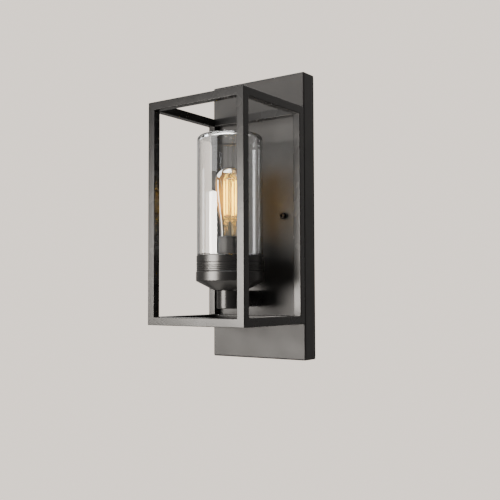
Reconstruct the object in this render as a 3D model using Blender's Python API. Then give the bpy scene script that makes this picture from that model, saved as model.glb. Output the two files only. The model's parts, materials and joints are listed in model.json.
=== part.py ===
"""Outdoor wall lantern: backplate, open square-tube cage, and a glass shade over a filament bulb.

The wall is the plane y = 0. +X is to the right of someone who faces the lantern, +Y points into the
wall and +Z is up. The origin is the middle of the crossbar's back face, behind the backplate's centre.
Distances "out" are measured from the wall towards the room, which is the -Y direction.
"""

import math

import bmesh
import bpy
from mathutils import Vector

MM = 0.001
GAP = 0.3 * MM
WELD = 0.001 * MM
MANY_SIDES = 32
FEW_SIDES = 24
TINY_SIDES = 12

# Backplate: a sheet-metal pan with its open side towards the wall.
PLATE_WIDTH = 150 * MM
PLATE_HEIGHT = 378 * MM
PLATE_OUT = 27.2 * MM
PLATE_SHEET = 1.4 * MM
PLATE_EDGE_RADIUS = 2.0 * MM
GASKET_THICKNESS = 2.0 * MM
GASKET_INSET = 1.0 * MM
GASKET_BAND = 8.0 * MM

# Cage: square tubes, as wide as the backplate.
CAGE_HEIGHT = 283.2 * MM
CAGE_DEPTH = 134.8 * MM
BAR = 10.5 * MM
BAR_WALL = 1.2 * MM
BAR_CHAMFER = 0.7 * MM

# Crossbar and the screws that hold the backplate to it.
CROSSBAR_LENGTH = 112 * MM
CROSSBAR_HEIGHT = 18 * MM
CROSSBAR_THICKNESS = 2.0 * MM
BOX_SLOT_CENTRE = 33 * MM
BOX_SLOT_LENGTH = 12 * MM
BOX_SLOT_WIDTH = 5 * MM
SCREW_SPACING = 88 * MM
SCREW_RADIUS = 2.5 * MM
SCREW_HEAD_RADIUS = 4.25 * MM
SCREW_HEAD_HEIGHT = 5.0 * MM
HEX_KEY_SIZE = 4.0 * MM
HEX_KEY_DEPTH = 2.6 * MM
SEAL_RADIUS = 5.0 * MM
SEAL_THICKNESS = 1.0 * MM
GROUND_SCREW_X = -16 * MM
GROUND_SCREW_RADIUS = 1.9 * MM
GROUND_SCREW_HEAD_RADIUS = 4.0 * MM
GROUND_SCREW_HEAD_HEIGHT = 2.4 * MM

# Screws that hold the cage's back frame from inside the pan.
CAGE_SCREW_X = 50 * MM
CAGE_SCREW_RADIUS = 1.75 * MM
CAGE_SCREW_HEAD_RADIUS = 3.8 * MM
CAGE_SCREW_HEAD_HEIGHT = 2.2 * MM
CAGE_SCREW_LENGTH = 8.5 * MM

# Lamp holder: everything on the upright lamp axis, and the arm that carries it.
LAMP_OUT = 88.5 * MM
ARM_HEIGHT = -109.0 * MM
ARM_RADIUS = 10.8 * MM
ARM_BORE = 8.0 * MM
ARM_END_WALL = 7.5 * MM
STEM_RADIUS = 17.2 * MM
STEM_TOP = -98.0 * MM
STEM_BOTTOM = -121.4 * MM
STEM_BORE = 13.8 * MM
STEM_WEB = 4.0 * MM
STEM_FLOOR = 3.0 * MM
CUP_NIPPLE_TOP = -79.0 * MM
NIPPLE_RADIUS = 5.0 * MM
NIPPLE_BORE = 3.5 * MM
NIPPLE_HOLE = 5.3 * MM
NUT_ACROSS_FLATS = 14.0 * MM
NUT_THICKNESS = 4.0 * MM
LOCK_WASHER_RADIUS = 8.5 * MM
LOCK_WASHER_THICKNESS = 0.9 * MM

CUP_RADIUS = 44.0 * MM
CUP_LEDGE = -73.8 * MM
CUP_SHOULDER = -86.0 * MM
CUP_BASE_RADIUS = 21.5 * MM
CUP_BOTTOM = -97.7 * MM
CUP_FLOOR = -94.5 * MM
CUP_BORE = 36.0 * MM
SPIGOT_TOP = -68.6 * MM
SPIGOT_RADIUS = 40.0 * MM

COLLAR_RADIUS = 43.4 * MM
COLLAR_TOP = -53.4 * MM
COLLAR_BOTTOM = -73.5 * MM
COLLAR_BORE = 40.3 * MM
COLLAR_WIDE_GROOVE = -62.5 * MM
COLLAR_FINE_GROOVES = (-66.6 * MM, -68.9 * MM, -71.2 * MM)

GLASS_RADIUS = 42.7 * MM
GLASS_TOP = 102.0 * MM
GLASS_WALL = 3.0 * MM
GLASS_SHOULDER = 6.0 * MM
GLASS_NECK_RADIUS = 40.0 * MM
GLASS_NECK_BOTTOM = -66.0 * MM

# Socket, open at the top, with the brass screw shell inside it.
SOCKET_RADIUS = 17.0 * MM
SOCKET_BORE = 14.7 * MM
SOCKET_TOP = -28.8 * MM
SOCKET_FLOOR = -61.7 * MM
SOCKET_SPLIT = -66.0 * MM
SOCKET_BOTTOM = -84.0 * MM
SHELL_RADIUS = 14.3 * MM
SHELL_BORE = 13.7 * MM
SHELL_TOP = -30.0 * MM
SHELL_BOTTOM = -57.6 * MM
SHELL_SHEET = 0.6 * MM
SHELL_HOLE = 8.0 * MM
CONTACT_RADIUS = 5.0 * MM
CONTACT_SHEET = 0.8 * MM
CONTACT_HEIGHT = 2.2 * MM

# Bulb with an Edison E26 base.
BASE_RADIUS = 13.2 * MM
BASE_BORE = 12.55 * MM
BASE_TOP = -30.5 * MM
BASE_BOTTOM = -52.7 * MM
THREAD_PITCH = 3.63 * MM
THREAD_DEPTH = 0.3 * MM
INSULATOR_RADIUS = 12.0 * MM
INSULATOR_END_RADIUS = 5.5 * MM
INSULATOR_BOTTOM = -56.7 * MM
INSULATOR_HOLE = 10.0 * MM
TIP_RADIUS = 4.6 * MM
TIP_TOP = -57.0 * MM
TIP_BOTTOM = -58.8 * MM
BULB_NECK_RADIUS = 12.5 * MM
BULB_RADIUS = 19.4 * MM
BULB_WIDEST = 42.0 * MM
BULB_WALL = 0.8 * MM
BULB_NECK_BOTTOM = -38.0 * MM
FILAMENT_CIRCLE = 8.2 * MM
FILAMENT_RADIUS = 0.9 * MM
FILAMENT_BOTTOM = -2.2 * MM
FILAMENT_TOP = 45.5 * MM
FILAMENT_COUNT = 4
FILAMENT_TURN = math.radians(10)
HOLDER_THICKNESS = 0.8 * MM
MOUNT_RADIUS = 10.9 * MM
MOUNT_BOTTOM = -37.5 * MM
MOUNT_STALK_RADIUS = 3.6 * MM
MOUNT_STALK_BOTTOM = -26.0 * MM
MOUNT_STALK_TOP = -14.0 * MM
MOUNT_ROD_RADIUS = 1.2 * MM
LEAD_IN_RADIUS = 0.35 * MM

# Internal wiring.
WIRE_RADIUS = 1.05 * MM
CONNECTOR_X = 14 * MM
CONNECTOR_OUT = 13.5 * MM
CONNECTOR_BOTTOM = -72 * MM
CONNECTOR_SKIRT = -60 * MM
CONNECTOR_FLOOR = -58 * MM
CONNECTOR_TOP = -46 * MM
CONNECTOR_RADIUS = 6.5 * MM
CONNECTOR_TOP_RADIUS = 3.6 * MM
CONNECTOR_BORE = 3.4 * MM

# Finish: colour, roughness, metallic, and where it applies transmission and emission strength.
FINISHES = {
    "black_powder_coat": dict(colour=(0.022, 0.022, 0.023), roughness=0.42, metallic=0.0),
    "black_steel": dict(colour=(0.03, 0.03, 0.032), roughness=0.35, metallic=0.8),
    "zinc_steel": dict(colour=(0.55, 0.55, 0.53), roughness=0.35, metallic=1.0),
    "green_steel": dict(colour=(0.05, 0.25, 0.08), roughness=0.4, metallic=0.8),
    "brass": dict(colour=(0.72, 0.52, 0.22), roughness=0.3, metallic=1.0),
    "nickel": dict(colour=(0.65, 0.62, 0.56), roughness=0.25, metallic=1.0),
    "black_rubber": dict(colour=(0.015, 0.015, 0.015), roughness=0.8, metallic=0.0),
    "black_phenolic": dict(colour=(0.02, 0.02, 0.02), roughness=0.45, metallic=0.0),
    "clear_glass": dict(colour=(1.0, 1.0, 1.0), roughness=0.0, metallic=0.0, transmission=1.0),
    "amber_glass": dict(colour=(1.0, 0.86, 0.62), roughness=0.0, metallic=0.0, transmission=1.0),
    "filament": dict(colour=(1.0, 0.62, 0.22), roughness=0.5, metallic=0.0, emission=8.0),
    "black_wire": dict(colour=(0.02, 0.02, 0.02), roughness=0.5, metallic=0.0),
    "white_wire": dict(colour=(0.8, 0.8, 0.78), roughness=0.5, metallic=0.0),
    "green_wire": dict(colour=(0.03, 0.2, 0.05), roughness=0.5, metallic=0.0),
    "yellow_plastic": dict(colour=(0.75, 0.5, 0.05), roughness=0.5, metallic=0.0),
}


# ---------------------------------------------------------------- scene and materials


def clear_scene():
    for obj in list(bpy.data.objects):
        bpy.data.objects.remove(obj, do_unlink=True)


def piece_material(piece_name, finish):
    """The piece's own material, named after it, with the numbers of its finish."""
    look = FINISHES[finish]
    made = bpy.data.materials.new(f"{piece_name}_{finish}")
    made.use_nodes = True
    shader = made.node_tree.nodes["Principled BSDF"]
    shader.inputs["Base Color"].default_value = (*look["colour"], 1.0)
    shader.inputs["Roughness"].default_value = look["roughness"]
    shader.inputs["Metallic"].default_value = look["metallic"]
    shader.inputs["Transmission Weight"].default_value = look.get("transmission", 0.0)
    if "emission" in look:
        shader.inputs["Emission Color"].default_value = (*look["colour"], 1.0)
        shader.inputs["Emission Strength"].default_value = look["emission"]
    made.diffuse_color = (*look["colour"], 1.0)
    return made


def link_piece(name, data, finish):
    obj = bpy.data.objects.new(name, data)
    bpy.context.scene.collection.objects.link(obj)
    if finish:
        data.materials.append(piece_material(name, finish))
    return obj


def mesh_piece(name, bm, finish, smooth_angle=None):
    bmesh.ops.recalc_face_normals(bm, faces=bm.faces)
    mesh = bpy.data.meshes.new(name)
    bm.to_mesh(mesh)
    bm.free()
    if smooth_angle:
        mesh.shade_smooth()
        mesh.set_sharp_from_angle(angle=smooth_angle)
    return link_piece(name, mesh, finish)


def carrier(name, location):
    """An empty on a joint's axis, which the pieces that move together hang from."""
    empty = bpy.data.objects.new(name, None)
    empty.location = location
    bpy.context.scene.collection.objects.link(empty)
    return empty


# ---------------------------------------------------------------- shapes


def arc(centre_r, centre_z, radius, start_deg, end_deg, steps):
    """Points along an arc in the (radius, height) plane, both ends included."""
    angles = [math.radians(start_deg + (end_deg - start_deg) * i / steps) for i in range(steps + 1)]
    return [(centre_r + radius * math.cos(a), centre_z + radius * math.sin(a)) for a in angles]


def turned(name, outline, finish, sides=MANY_SIDES, parent=None, faces_room=False, place=(0, 0, 0)):
    """Spin an outline of (radius, height) points about the local Z axis.

    An outline whose first and last points lie on the axis is a solid of revolution, and any other is
    closed into a ring. With faces_room the piece's +Z turns to point out of the wall.
    """
    bm = bmesh.new()
    verts = [bm.verts.new((radius, 0, height)) for radius, height in outline]
    edges = [bm.edges.new(pair) for pair in zip(verts, verts[1:])]
    if outline[0][0] > 0 or outline[-1][0] > 0:
        edges.append(bm.edges.new((verts[-1], verts[0])))
    bmesh.ops.spin(
        bm, geom=verts + edges, cent=(0, 0, 0), axis=(0, 0, 1), angle=math.tau, steps=sides,
        use_merge=True,
    )
    bmesh.ops.remove_doubles(bm, verts=bm.verts, dist=WELD)
    obj = mesh_piece(name, bm, finish, smooth_angle=math.radians(32))
    obj.parent = parent
    obj.location = place
    if faces_room:
        obj.rotation_euler.x = math.pi / 2
    return obj


def extruded(name, outline, near, far, finish, place=(0, 0, 0)):
    """Extrude a closed outline of (x, z) points from one distance out of the wall to another."""
    bm = bmesh.new()
    verts = [bm.verts.new((x, -near, z)) for x, z in outline]
    face = bm.faces.new(verts)
    moved = bmesh.ops.extrude_face_region(bm, geom=[face])
    top = [item for item in moved["geom"] if isinstance(item, bmesh.types.BMVert)]
    bmesh.ops.translate(bm, vec=(0, near - far, 0), verts=top)
    obj = mesh_piece(name, bm, finish)
    obj.location = place
    return obj


def rectangle(width, height):
    x = width / 2
    z = height / 2
    return [(-x, -z), (x, -z), (x, z), (-x, z)]


def rounded_rectangle(width, height, radius, steps=4):
    points = []
    for sign_x, sign_z, start in ((1, -1, -90), (1, 1, 0), (-1, 1, 90), (-1, -1, 180)):
        centre_x = sign_x * (width / 2 - radius)
        centre_z = sign_z * (height / 2 - radius)
        points += arc(centre_x, centre_z, radius, start, start + 90, steps)
    kept = [points[0]]
    for point in points[1:]:
        if math.dist(point, kept[-1]) > WELD and math.dist(point, points[0]) > WELD:
            kept.append(point)
    return kept


def polygon(sides, radius, turn_deg=0):
    return arc(0, 0, radius, turn_deg, turn_deg + 360 * (sides - 1) / sides, sides - 1)


def cut(obj, tool):
    """Take the tool's shape out of the object. The tool stays in the file as a wire-frame helper."""
    tool.hide_render = True
    tool.display_type = "WIRE"
    modifier = obj.modifiers.new(tool.name, "BOOLEAN")
    modifier.operation = "DIFFERENCE"
    modifier.solver = "EXACT"
    modifier.object = tool


def hole(obj, name, radius, x, z, near, far, sides=FEW_SIDES):
    """Drill a round hole through the object, along Y, between two distances out of the wall."""
    cut(obj, extruded(f"cutter_{name}", polygon(sides, radius), near, far, None, (x, 0, z)))


def chamfered_square(size, chamfer, inset=0.0):
    """Eight corners of a square from (0, 0) to (size, size) with cut corners, shrunk by an inset."""
    low = inset
    high = size - inset
    cut_back = max(chamfer - inset * 0.5, 0.2 * MM)
    return [
        (low + cut_back, low), (high - cut_back, low), (high, low + cut_back), (high, high - cut_back),
        (high - cut_back, high), (low + cut_back, high), (low, high - cut_back), (low, low + cut_back),
    ]


def square_tube(name, start, end, across, deep, mitre, finish):
    """A hollow square tube from start to end, which are points on its outer edge.

    across and deep are unit vectors over the section. With mitre, both ends are cut back at 45 degrees
    along across, and stop half a gap short of the corner.
    """
    start, end, across, deep = Vector(start), Vector(end), Vector(across), Vector(deep)
    along = (end - start).normalized()
    bm = bmesh.new()
    loops = []
    for inset in (0.0, BAR_WALL):
        section = chamfered_square(BAR, BAR_CHAMFER, inset)
        for base, sign in ((start, 1), (end, -1)):
            ring = []
            for s, t in section:
                back = s + GAP * 0.7071 if mitre else 0.0
                ring.append(bm.verts.new(base + along * sign * back + across * s + deep * t))
            loops.append(ring)
    outer_start, outer_end, inner_start, inner_end = loops
    for first, second in (
        (outer_start, outer_end), (outer_end, inner_end),
        (inner_end, inner_start), (inner_start, outer_start),
    ):
        count = len(first)
        for i in range(count):
            j = (i + 1) % count
            bm.faces.new((first[i], first[j], second[j], second[i]))
    return mesh_piece(name, bm, finish)


def smooth_route(points, steps):
    """Points along a Catmull-Rom curve through the route's own points."""
    route = [Vector(p) for p in points]
    route = [route[0] * 2 - route[1]] + route + [route[-1] * 2 - route[-2]]
    found = []
    for a, b, c, d in zip(route, route[1:], route[2:], route[3:]):
        square = 2 * a - 5 * b + 4 * c - d
        cube = 3 * b - a - 3 * c + d
        for i in range(steps):
            t = i / steps
            found.append(0.5 * (2 * b + (c - a) * t + square * t**2 + cube * t**3))
    return found + [route[-2]]


def wire(name, route, radius, finish, steps=4, parent=None, roundness=2):
    """A round wire with capped ends along a smooth curve."""
    curve = bpy.data.curves.new(name, "CURVE")
    curve.dimensions = "3D"
    curve.bevel_depth = radius
    curve.bevel_resolution = roundness
    curve.use_fill_caps = True
    points = smooth_route(route, steps)
    spline = curve.splines.new("POLY")
    spline.points.add(len(points) - 1)
    for slot, point in zip(spline.points, points):
        slot.co = (*point, 1)
    obj = link_piece(name, curve, finish)
    obj.parent = parent
    return obj


# ---------------------------------------------------------------- backplate and wall fixing


def make_backplate():
    """The pan: five walls of one sheet, with holes for its screws and the arm's nipple."""
    depth = PLATE_OUT - GASKET_THICKNESS - GAP
    bm = bmesh.new()
    bmesh.ops.create_cube(bm, size=1)
    bmesh.ops.scale(bm, vec=(PLATE_WIDTH, depth, PLATE_HEIGHT), verts=bm.verts)
    bmesh.ops.translate(bm, vec=(0, -(PLATE_OUT - depth / 2), 0), verts=bm.verts)
    back = [face for face in bm.faces if face.normal.y > 0.5]
    bmesh.ops.delete(bm, geom=back, context="FACES_ONLY")
    folds = [edge for edge in bm.edges if len(edge.link_faces) == 2]
    bmesh.ops.bevel(
        bm, geom=folds, offset=PLATE_EDGE_RADIUS, offset_type="OFFSET", segments=3, profile=0.5,
        affect="EDGES",
    )
    pan = mesh_piece("backplate_pan", bm, "black_powder_coat", smooth_angle=math.radians(35))
    sheet = pan.modifiers.new("sheet", "SOLIDIFY")
    sheet.thickness = PLATE_SHEET
    sheet.offset = -1
    sheet.use_even_offset = True
    through = (PLATE_OUT - 5 * PLATE_SHEET, PLATE_OUT + 3 * PLATE_SHEET)
    for side, x in (("left", -SCREW_SPACING / 2), ("right", SCREW_SPACING / 2)):
        hole(pan, f"pan_screw_{side}", SCREW_RADIUS + 0.7 * MM, x, 0, *through)
    for place, x, z in cage_screw_places():
        hole(pan, f"pan_cage_screw_{place}", CAGE_SCREW_RADIUS + 0.45 * MM, x, z, *through, TINY_SIDES)
    hole(pan, "pan_nipple", NIPPLE_HOLE + 0.1 * MM, 0, ARM_HEIGHT, *through)


def make_wall_gasket():
    outer_width = PLATE_WIDTH - 2 * GASKET_INSET
    outer_height = PLATE_HEIGHT - 2 * GASKET_INSET
    gasket = extruded(
        "wall_gasket", rounded_rectangle(outer_width, outer_height, 3 * MM), 0, GASKET_THICKNESS,
        "black_rubber",
    )
    opening = rectangle(outer_width - 2 * GASKET_BAND, outer_height - 2 * GASKET_BAND)
    cut(gasket, extruded("cutter_gasket", opening, -GASKET_THICKNESS, 2 * GASKET_THICKNESS, None))


def make_crossbar():
    """The flat strap on the wall box: solid in the middle, slotted for the box, tapped at its ends."""
    bar = extruded(
        "crossbar", rounded_rectangle(CROSSBAR_LENGTH, CROSSBAR_HEIGHT, 4 * MM), 0, CROSSBAR_THICKNESS,
        "zinc_steel",
    )
    through = (-CROSSBAR_THICKNESS, 2 * CROSSBAR_THICKNESS)
    for side, sign in (("left", -1), ("right", 1)):
        slot = rounded_rectangle(BOX_SLOT_LENGTH, BOX_SLOT_WIDTH, BOX_SLOT_WIDTH * 0.499)
        cut(bar, extruded(f"cutter_slot_{side}", slot, *through, None, (sign * BOX_SLOT_CENTRE, 0, 0)))
        hole(bar, f"crossbar_{side}", SCREW_RADIUS + GAP, sign * SCREW_SPACING / 2, 0, *through)
    hole(bar, "crossbar_ground", GROUND_SCREW_RADIUS + GAP, GROUND_SCREW_X, 0, *through, TINY_SIDES)


def screw_outline(shank_radius, shank_end, head_start, head_radius, head_end, edge):
    """Half section of a screw whose head starts and ends at distances out of the wall."""
    return [
        (0, shank_end), (shank_radius - edge, shank_end), (shank_radius, shank_end + edge),
        (shank_radius, head_start), (head_radius, head_start), (head_radius, head_end - edge),
        (head_radius - edge, head_end), (0, head_end),
    ]


def make_mounting_screw(side, x):
    """A socket-head screw and its rubber sealing washer, on the screw's own axis."""
    washer_start = PLATE_OUT + GAP
    head_start = washer_start + SEAL_THICKNESS + GAP
    head_end = head_start + SCREW_HEAD_HEIGHT
    axis = carrier(f"mounting_screw_axis_{side}", (x, 0, 0))
    washer = [
        (SCREW_RADIUS + GAP, washer_start), (SEAL_RADIUS, washer_start),
        (SEAL_RADIUS, washer_start + SEAL_THICKNESS), (SCREW_RADIUS + GAP, washer_start + SEAL_THICKNESS),
    ]
    turned(f"sealing_washer_{side}", washer, "black_rubber", FEW_SIDES, axis, faces_room=True)
    outline = screw_outline(SCREW_RADIUS, 0.6 * MM, head_start, SCREW_HEAD_RADIUS, head_end, 0.5 * MM)
    screw = turned(f"mounting_screw_{side}", outline, "black_steel", FEW_SIDES, axis, faces_room=True)
    key = polygon(6, HEX_KEY_SIZE / math.sqrt(3))
    recess = extruded(
        f"cutter_hex_{side}", key, head_end - HEX_KEY_DEPTH, head_end + HEX_KEY_DEPTH, None, (x, 0, 0)
    )
    cut(screw, recess)


def make_ground_screw():
    head_start = CROSSBAR_THICKNESS + GAP
    edge = 0.4 * MM
    outline = screw_outline(
        GROUND_SCREW_RADIUS, edge, head_start, GROUND_SCREW_HEAD_RADIUS,
        head_start + GROUND_SCREW_HEAD_HEIGHT, edge,
    )
    turned(
        "ground_screw", outline, "green_steel", TINY_SIDES, faces_room=True, place=(GROUND_SCREW_X, 0, 0)
    )


# ---------------------------------------------------------------- cage


def cage_screw_places():
    height = CAGE_HEIGHT / 2 - BAR / 2
    for vertical, z in (("top", height), ("bottom", -height)):
        for side, x in (("left", -CAGE_SCREW_X), ("right", CAGE_SCREW_X)):
            yield f"{vertical}_{side}", x, z


def make_cage_frame(where, out):
    """Four mitred tubes in one upright plane. out is the frame's nearest distance to the wall."""
    half_width = PLATE_WIDTH / 2
    half_height = CAGE_HEIGHT / 2
    deep = (0, -1, 0)
    bars = {}
    for side, sign in (("left", -1), ("right", 1)):
        bars[side] = square_tube(
            f"cage_{where}_post_{side}", (sign * half_width, -out, -half_height),
            (sign * half_width, -out, half_height), (-sign, 0, 0), deep, True, "black_powder_coat",
        )
    for side, sign in (("bottom", -1), ("top", 1)):
        bars[side] = square_tube(
            f"cage_{where}_rail_{side}", (-half_width, -out, sign * half_height),
            (half_width, -out, sign * half_height), (0, 0, -sign), deep, True, "black_powder_coat",
        )
    return bars


def make_cage():
    back_out = PLATE_OUT + GAP
    front_out = PLATE_OUT + GAP + CAGE_DEPTH - BAR
    back = make_cage_frame("back", back_out)
    make_cage_frame("front", front_out)
    for vertical, sign_z in (("top", 1), ("bottom", -1)):
        for side, sign_x in (("left", -1), ("right", 1)):
            x = sign_x * PLATE_WIDTH / 2
            z = sign_z * CAGE_HEIGHT / 2
            square_tube(
                f"cage_side_rail_{vertical}_{side}", (x, -(back_out + BAR + GAP), z),
                (x, -(front_out - GAP), z), (-sign_x, 0, 0), (0, 0, -sign_z), False, "black_powder_coat",
            )
    wall_span = (back_out - BAR_WALL, back_out + 2 * BAR_WALL)
    for place, x, z in cage_screw_places():
        rail = back[place.split("_")[0]]
        hole(rail, f"rail_screw_{place}", CAGE_SCREW_RADIUS + GAP, x, z, *wall_span, TINY_SIDES)


def make_cage_screws():
    """Pan-head screws from inside the pan into the cage's back frame."""
    head_end = PLATE_OUT - PLATE_SHEET - GAP
    head_start = head_end - CAGE_SCREW_HEAD_HEIGHT
    outline = [
        (0, head_start), (CAGE_SCREW_HEAD_RADIUS * 0.7, head_start),
        (CAGE_SCREW_HEAD_RADIUS, head_start + 0.8 * MM), (CAGE_SCREW_HEAD_RADIUS, head_end),
        (CAGE_SCREW_RADIUS, head_end), (CAGE_SCREW_RADIUS, head_end + CAGE_SCREW_LENGTH - 0.5 * MM),
        (CAGE_SCREW_RADIUS - 0.5 * MM, head_end + CAGE_SCREW_LENGTH), (0, head_end + CAGE_SCREW_LENGTH),
    ]
    for place, x, z in cage_screw_places():
        turned(f"cage_screw_{place}", outline, "zinc_steel", TINY_SIDES, faces_room=True, place=(x, 0, z))


# ---------------------------------------------------------------- arm and stem


def ring(inner, outer, low, high):
    return [(inner, low), (outer, low), (outer, high), (inner, high)]


def hex_nut(name, low, place, faces_room):
    """A hexagonal nut, bored by a cutter, that starts at a height along its own axis."""
    corner = NUT_ACROSS_FLATS / math.sqrt(3)
    block = ring(0, corner, low, low + NUT_THICKNESS)
    drill = ring(0, NIPPLE_HOLE, low - NUT_THICKNESS, low + 2 * NUT_THICKNESS)
    nut = turned(name, block, "zinc_steel", 6, None, faces_room, place)
    bore = turned(f"cutter_{name}", drill, None, FEW_SIDES, None, faces_room, place)
    cut(nut, bore)


def make_arm():
    """The horizontal tube from the backplate to the stem, and the nipple and nut that hold it."""
    start = PLATE_OUT + GAP
    end = LAMP_OUT - STEM_RADIUS * 0.6
    wall_end = start + ARM_END_WALL
    outline = [
        (NIPPLE_HOLE, start), (ARM_RADIUS - 0.4 * MM, start), (ARM_RADIUS, start + 0.4 * MM),
        (ARM_RADIUS, end), (ARM_BORE, end), (ARM_BORE, wall_end), (NIPPLE_HOLE, wall_end),
    ]
    place = (0, 0, ARM_HEIGHT)
    arm = turned("arm_tube", outline, "black_powder_coat", FEW_SIDES, faces_room=True, place=place)
    saddle = ring(0, STEM_RADIUS + GAP, STEM_BOTTOM - ARM_RADIUS, STEM_TOP + ARM_RADIUS)
    cut(arm, turned("cutter_arm_saddle", saddle, None, MANY_SIDES, place=(0, -LAMP_OUT, 0)))
    pan_inside = PLATE_OUT - PLATE_SHEET - GAP
    nipple_start = pan_inside - 2 * NUT_THICKNESS - MM
    turned(
        "arm_nipple", ring(NIPPLE_BORE, NIPPLE_RADIUS, nipple_start, wall_end - GAP), "zinc_steel",
        FEW_SIDES, faces_room=True, place=place,
    )
    washer_start = pan_inside - LOCK_WASHER_THICKNESS
    turned(
        "arm_lock_washer", ring(NIPPLE_HOLE, LOCK_WASHER_RADIUS, washer_start, pan_inside), "zinc_steel",
        FEW_SIDES, faces_room=True, place=place,
    )
    hex_nut("arm_hex_nut", washer_start - GAP - NUT_THICKNESS, place, faces_room=True)


def make_stem(axis):
    """The short upright housing under the cup, hollow for the leads, with a side hole to the arm."""
    edge = 0.6 * MM
    ceiling = STEM_TOP - STEM_WEB
    floor = STEM_BOTTOM + STEM_FLOOR
    outline = [
        (0, STEM_BOTTOM), (STEM_RADIUS - edge, STEM_BOTTOM), (STEM_RADIUS, STEM_BOTTOM + edge),
        (STEM_RADIUS, STEM_TOP), (NIPPLE_HOLE, STEM_TOP), (NIPPLE_HOLE, ceiling),
        (STEM_BORE, ceiling), (STEM_BORE, floor), (0, floor),
    ]
    stem = turned("stem_housing", outline, "black_powder_coat", MANY_SIDES, axis)
    port = extruded(
        "cutter_stem_port", polygon(FEW_SIDES, ARM_BORE), LAMP_OUT - 1.5 * STEM_RADIUS,
        LAMP_OUT - ARM_BORE, None, (0, 0, ARM_HEIGHT),
    )
    cut(stem, port)
    nipple = ring(NIPPLE_BORE, NIPPLE_RADIUS, ceiling + 0.5 * MM, CUP_NIPPLE_TOP)
    turned("cup_nipple", nipple, "zinc_steel", FEW_SIDES, axis)
    washer_top = CUP_FLOOR + GAP + LOCK_WASHER_THICKNESS
    washer = ring(NIPPLE_HOLE, LOCK_WASHER_RADIUS, CUP_FLOOR + GAP, washer_top)
    turned("cup_lock_washer", washer, "zinc_steel", FEW_SIDES, axis)
    hex_nut("cup_hex_nut", washer_top + GAP, (0, -LAMP_OUT, 0), faces_room=False)


# ---------------------------------------------------------------- cup, collar and glass


def make_cup(axis):
    """The fixed lower cup: a cone, a plain band, a ledge, and the spigot that the collar screws onto."""
    edge = 0.6 * MM
    outline = [
        (NIPPLE_HOLE, CUP_BOTTOM), (CUP_BASE_RADIUS - edge, CUP_BOTTOM),
        (CUP_BASE_RADIUS, CUP_BOTTOM + edge), (CUP_RADIUS - edge, CUP_SHOULDER - edge),
        (CUP_RADIUS, CUP_SHOULDER), (CUP_RADIUS, CUP_LEDGE - edge), (CUP_RADIUS - edge, CUP_LEDGE),
        (SPIGOT_RADIUS, CUP_LEDGE), (SPIGOT_RADIUS, SPIGOT_TOP), (CUP_BORE, SPIGOT_TOP),
        (CUP_BORE, CUP_SHOULDER), (CUP_BASE_RADIUS - 2 * MM, CUP_FLOOR), (NIPPLE_HOLE, CUP_FLOOR),
    ]
    turned("lamp_cup", outline, "black_powder_coat", MANY_SIDES, axis)


def make_collar(axis):
    """The grooved ring that carries the glass and screws down onto the cup's spigot."""
    edge = 0.5 * MM
    fine = 0.45 * MM
    rim = COLLAR_RADIUS - edge
    outline = [(COLLAR_BORE, COLLAR_BOTTOM), (rim, COLLAR_BOTTOM), (COLLAR_RADIUS, COLLAR_BOTTOM + edge)]
    for height in reversed(COLLAR_FINE_GROOVES):
        outline += [
            (COLLAR_RADIUS, height - fine), (COLLAR_RADIUS - 2 * fine, height),
            (COLLAR_RADIUS, height + fine),
        ]
    outline += [
        (COLLAR_RADIUS, COLLAR_WIDE_GROOVE - edge), (rim, COLLAR_WIDE_GROOVE - edge),
        (rim, COLLAR_WIDE_GROOVE + edge), (COLLAR_RADIUS, COLLAR_WIDE_GROOVE + edge),
        (COLLAR_RADIUS, COLLAR_TOP - edge), (rim, COLLAR_TOP), (COLLAR_BORE, COLLAR_TOP),
    ]
    turned("shade_collar", outline, "black_powder_coat", MANY_SIDES, axis)


def make_shade(axis):
    """The clear glass: a straight cylinder with a flat closed top and a neck that sits in the collar."""
    inner = GLASS_RADIUS - GLASS_WALL
    inner_corner = GLASS_SHOULDER - 1.2 * MM
    neck_inner = GLASS_NECK_RADIUS - GLASS_WALL - 0.4 * MM
    rest = COLLAR_TOP + GAP
    outline = [(0, GLASS_TOP)]
    outline += arc(GLASS_RADIUS - GLASS_SHOULDER, GLASS_TOP - GLASS_SHOULDER, GLASS_SHOULDER, 90, 0, 5)
    outline += [
        (GLASS_RADIUS, rest + 0.8 * MM), (GLASS_RADIUS - 0.8 * MM, rest), (GLASS_NECK_RADIUS, rest),
        (GLASS_NECK_RADIUS, GLASS_NECK_BOTTOM), (neck_inner, GLASS_NECK_BOTTOM),
        (neck_inner, rest), (inner, rest + GLASS_WALL + MM),
    ]
    outline += arc(inner - inner_corner, GLASS_TOP - GLASS_WALL - inner_corner, inner_corner, 0, 90, 3)
    outline += [(0, GLASS_TOP - GLASS_WALL)]
    turned("glass_shade", outline, "clear_glass", MANY_SIDES, axis)


def make_shade_gasket(axis):
    outline = ring(CUP_BORE + GAP, GLASS_NECK_RADIUS - GAP, SPIGOT_TOP + GAP, GLASS_NECK_BOTTOM - GAP)
    turned("shade_gasket", outline, "black_rubber", MANY_SIDES, axis)


# ---------------------------------------------------------------- socket and bulb


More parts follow.
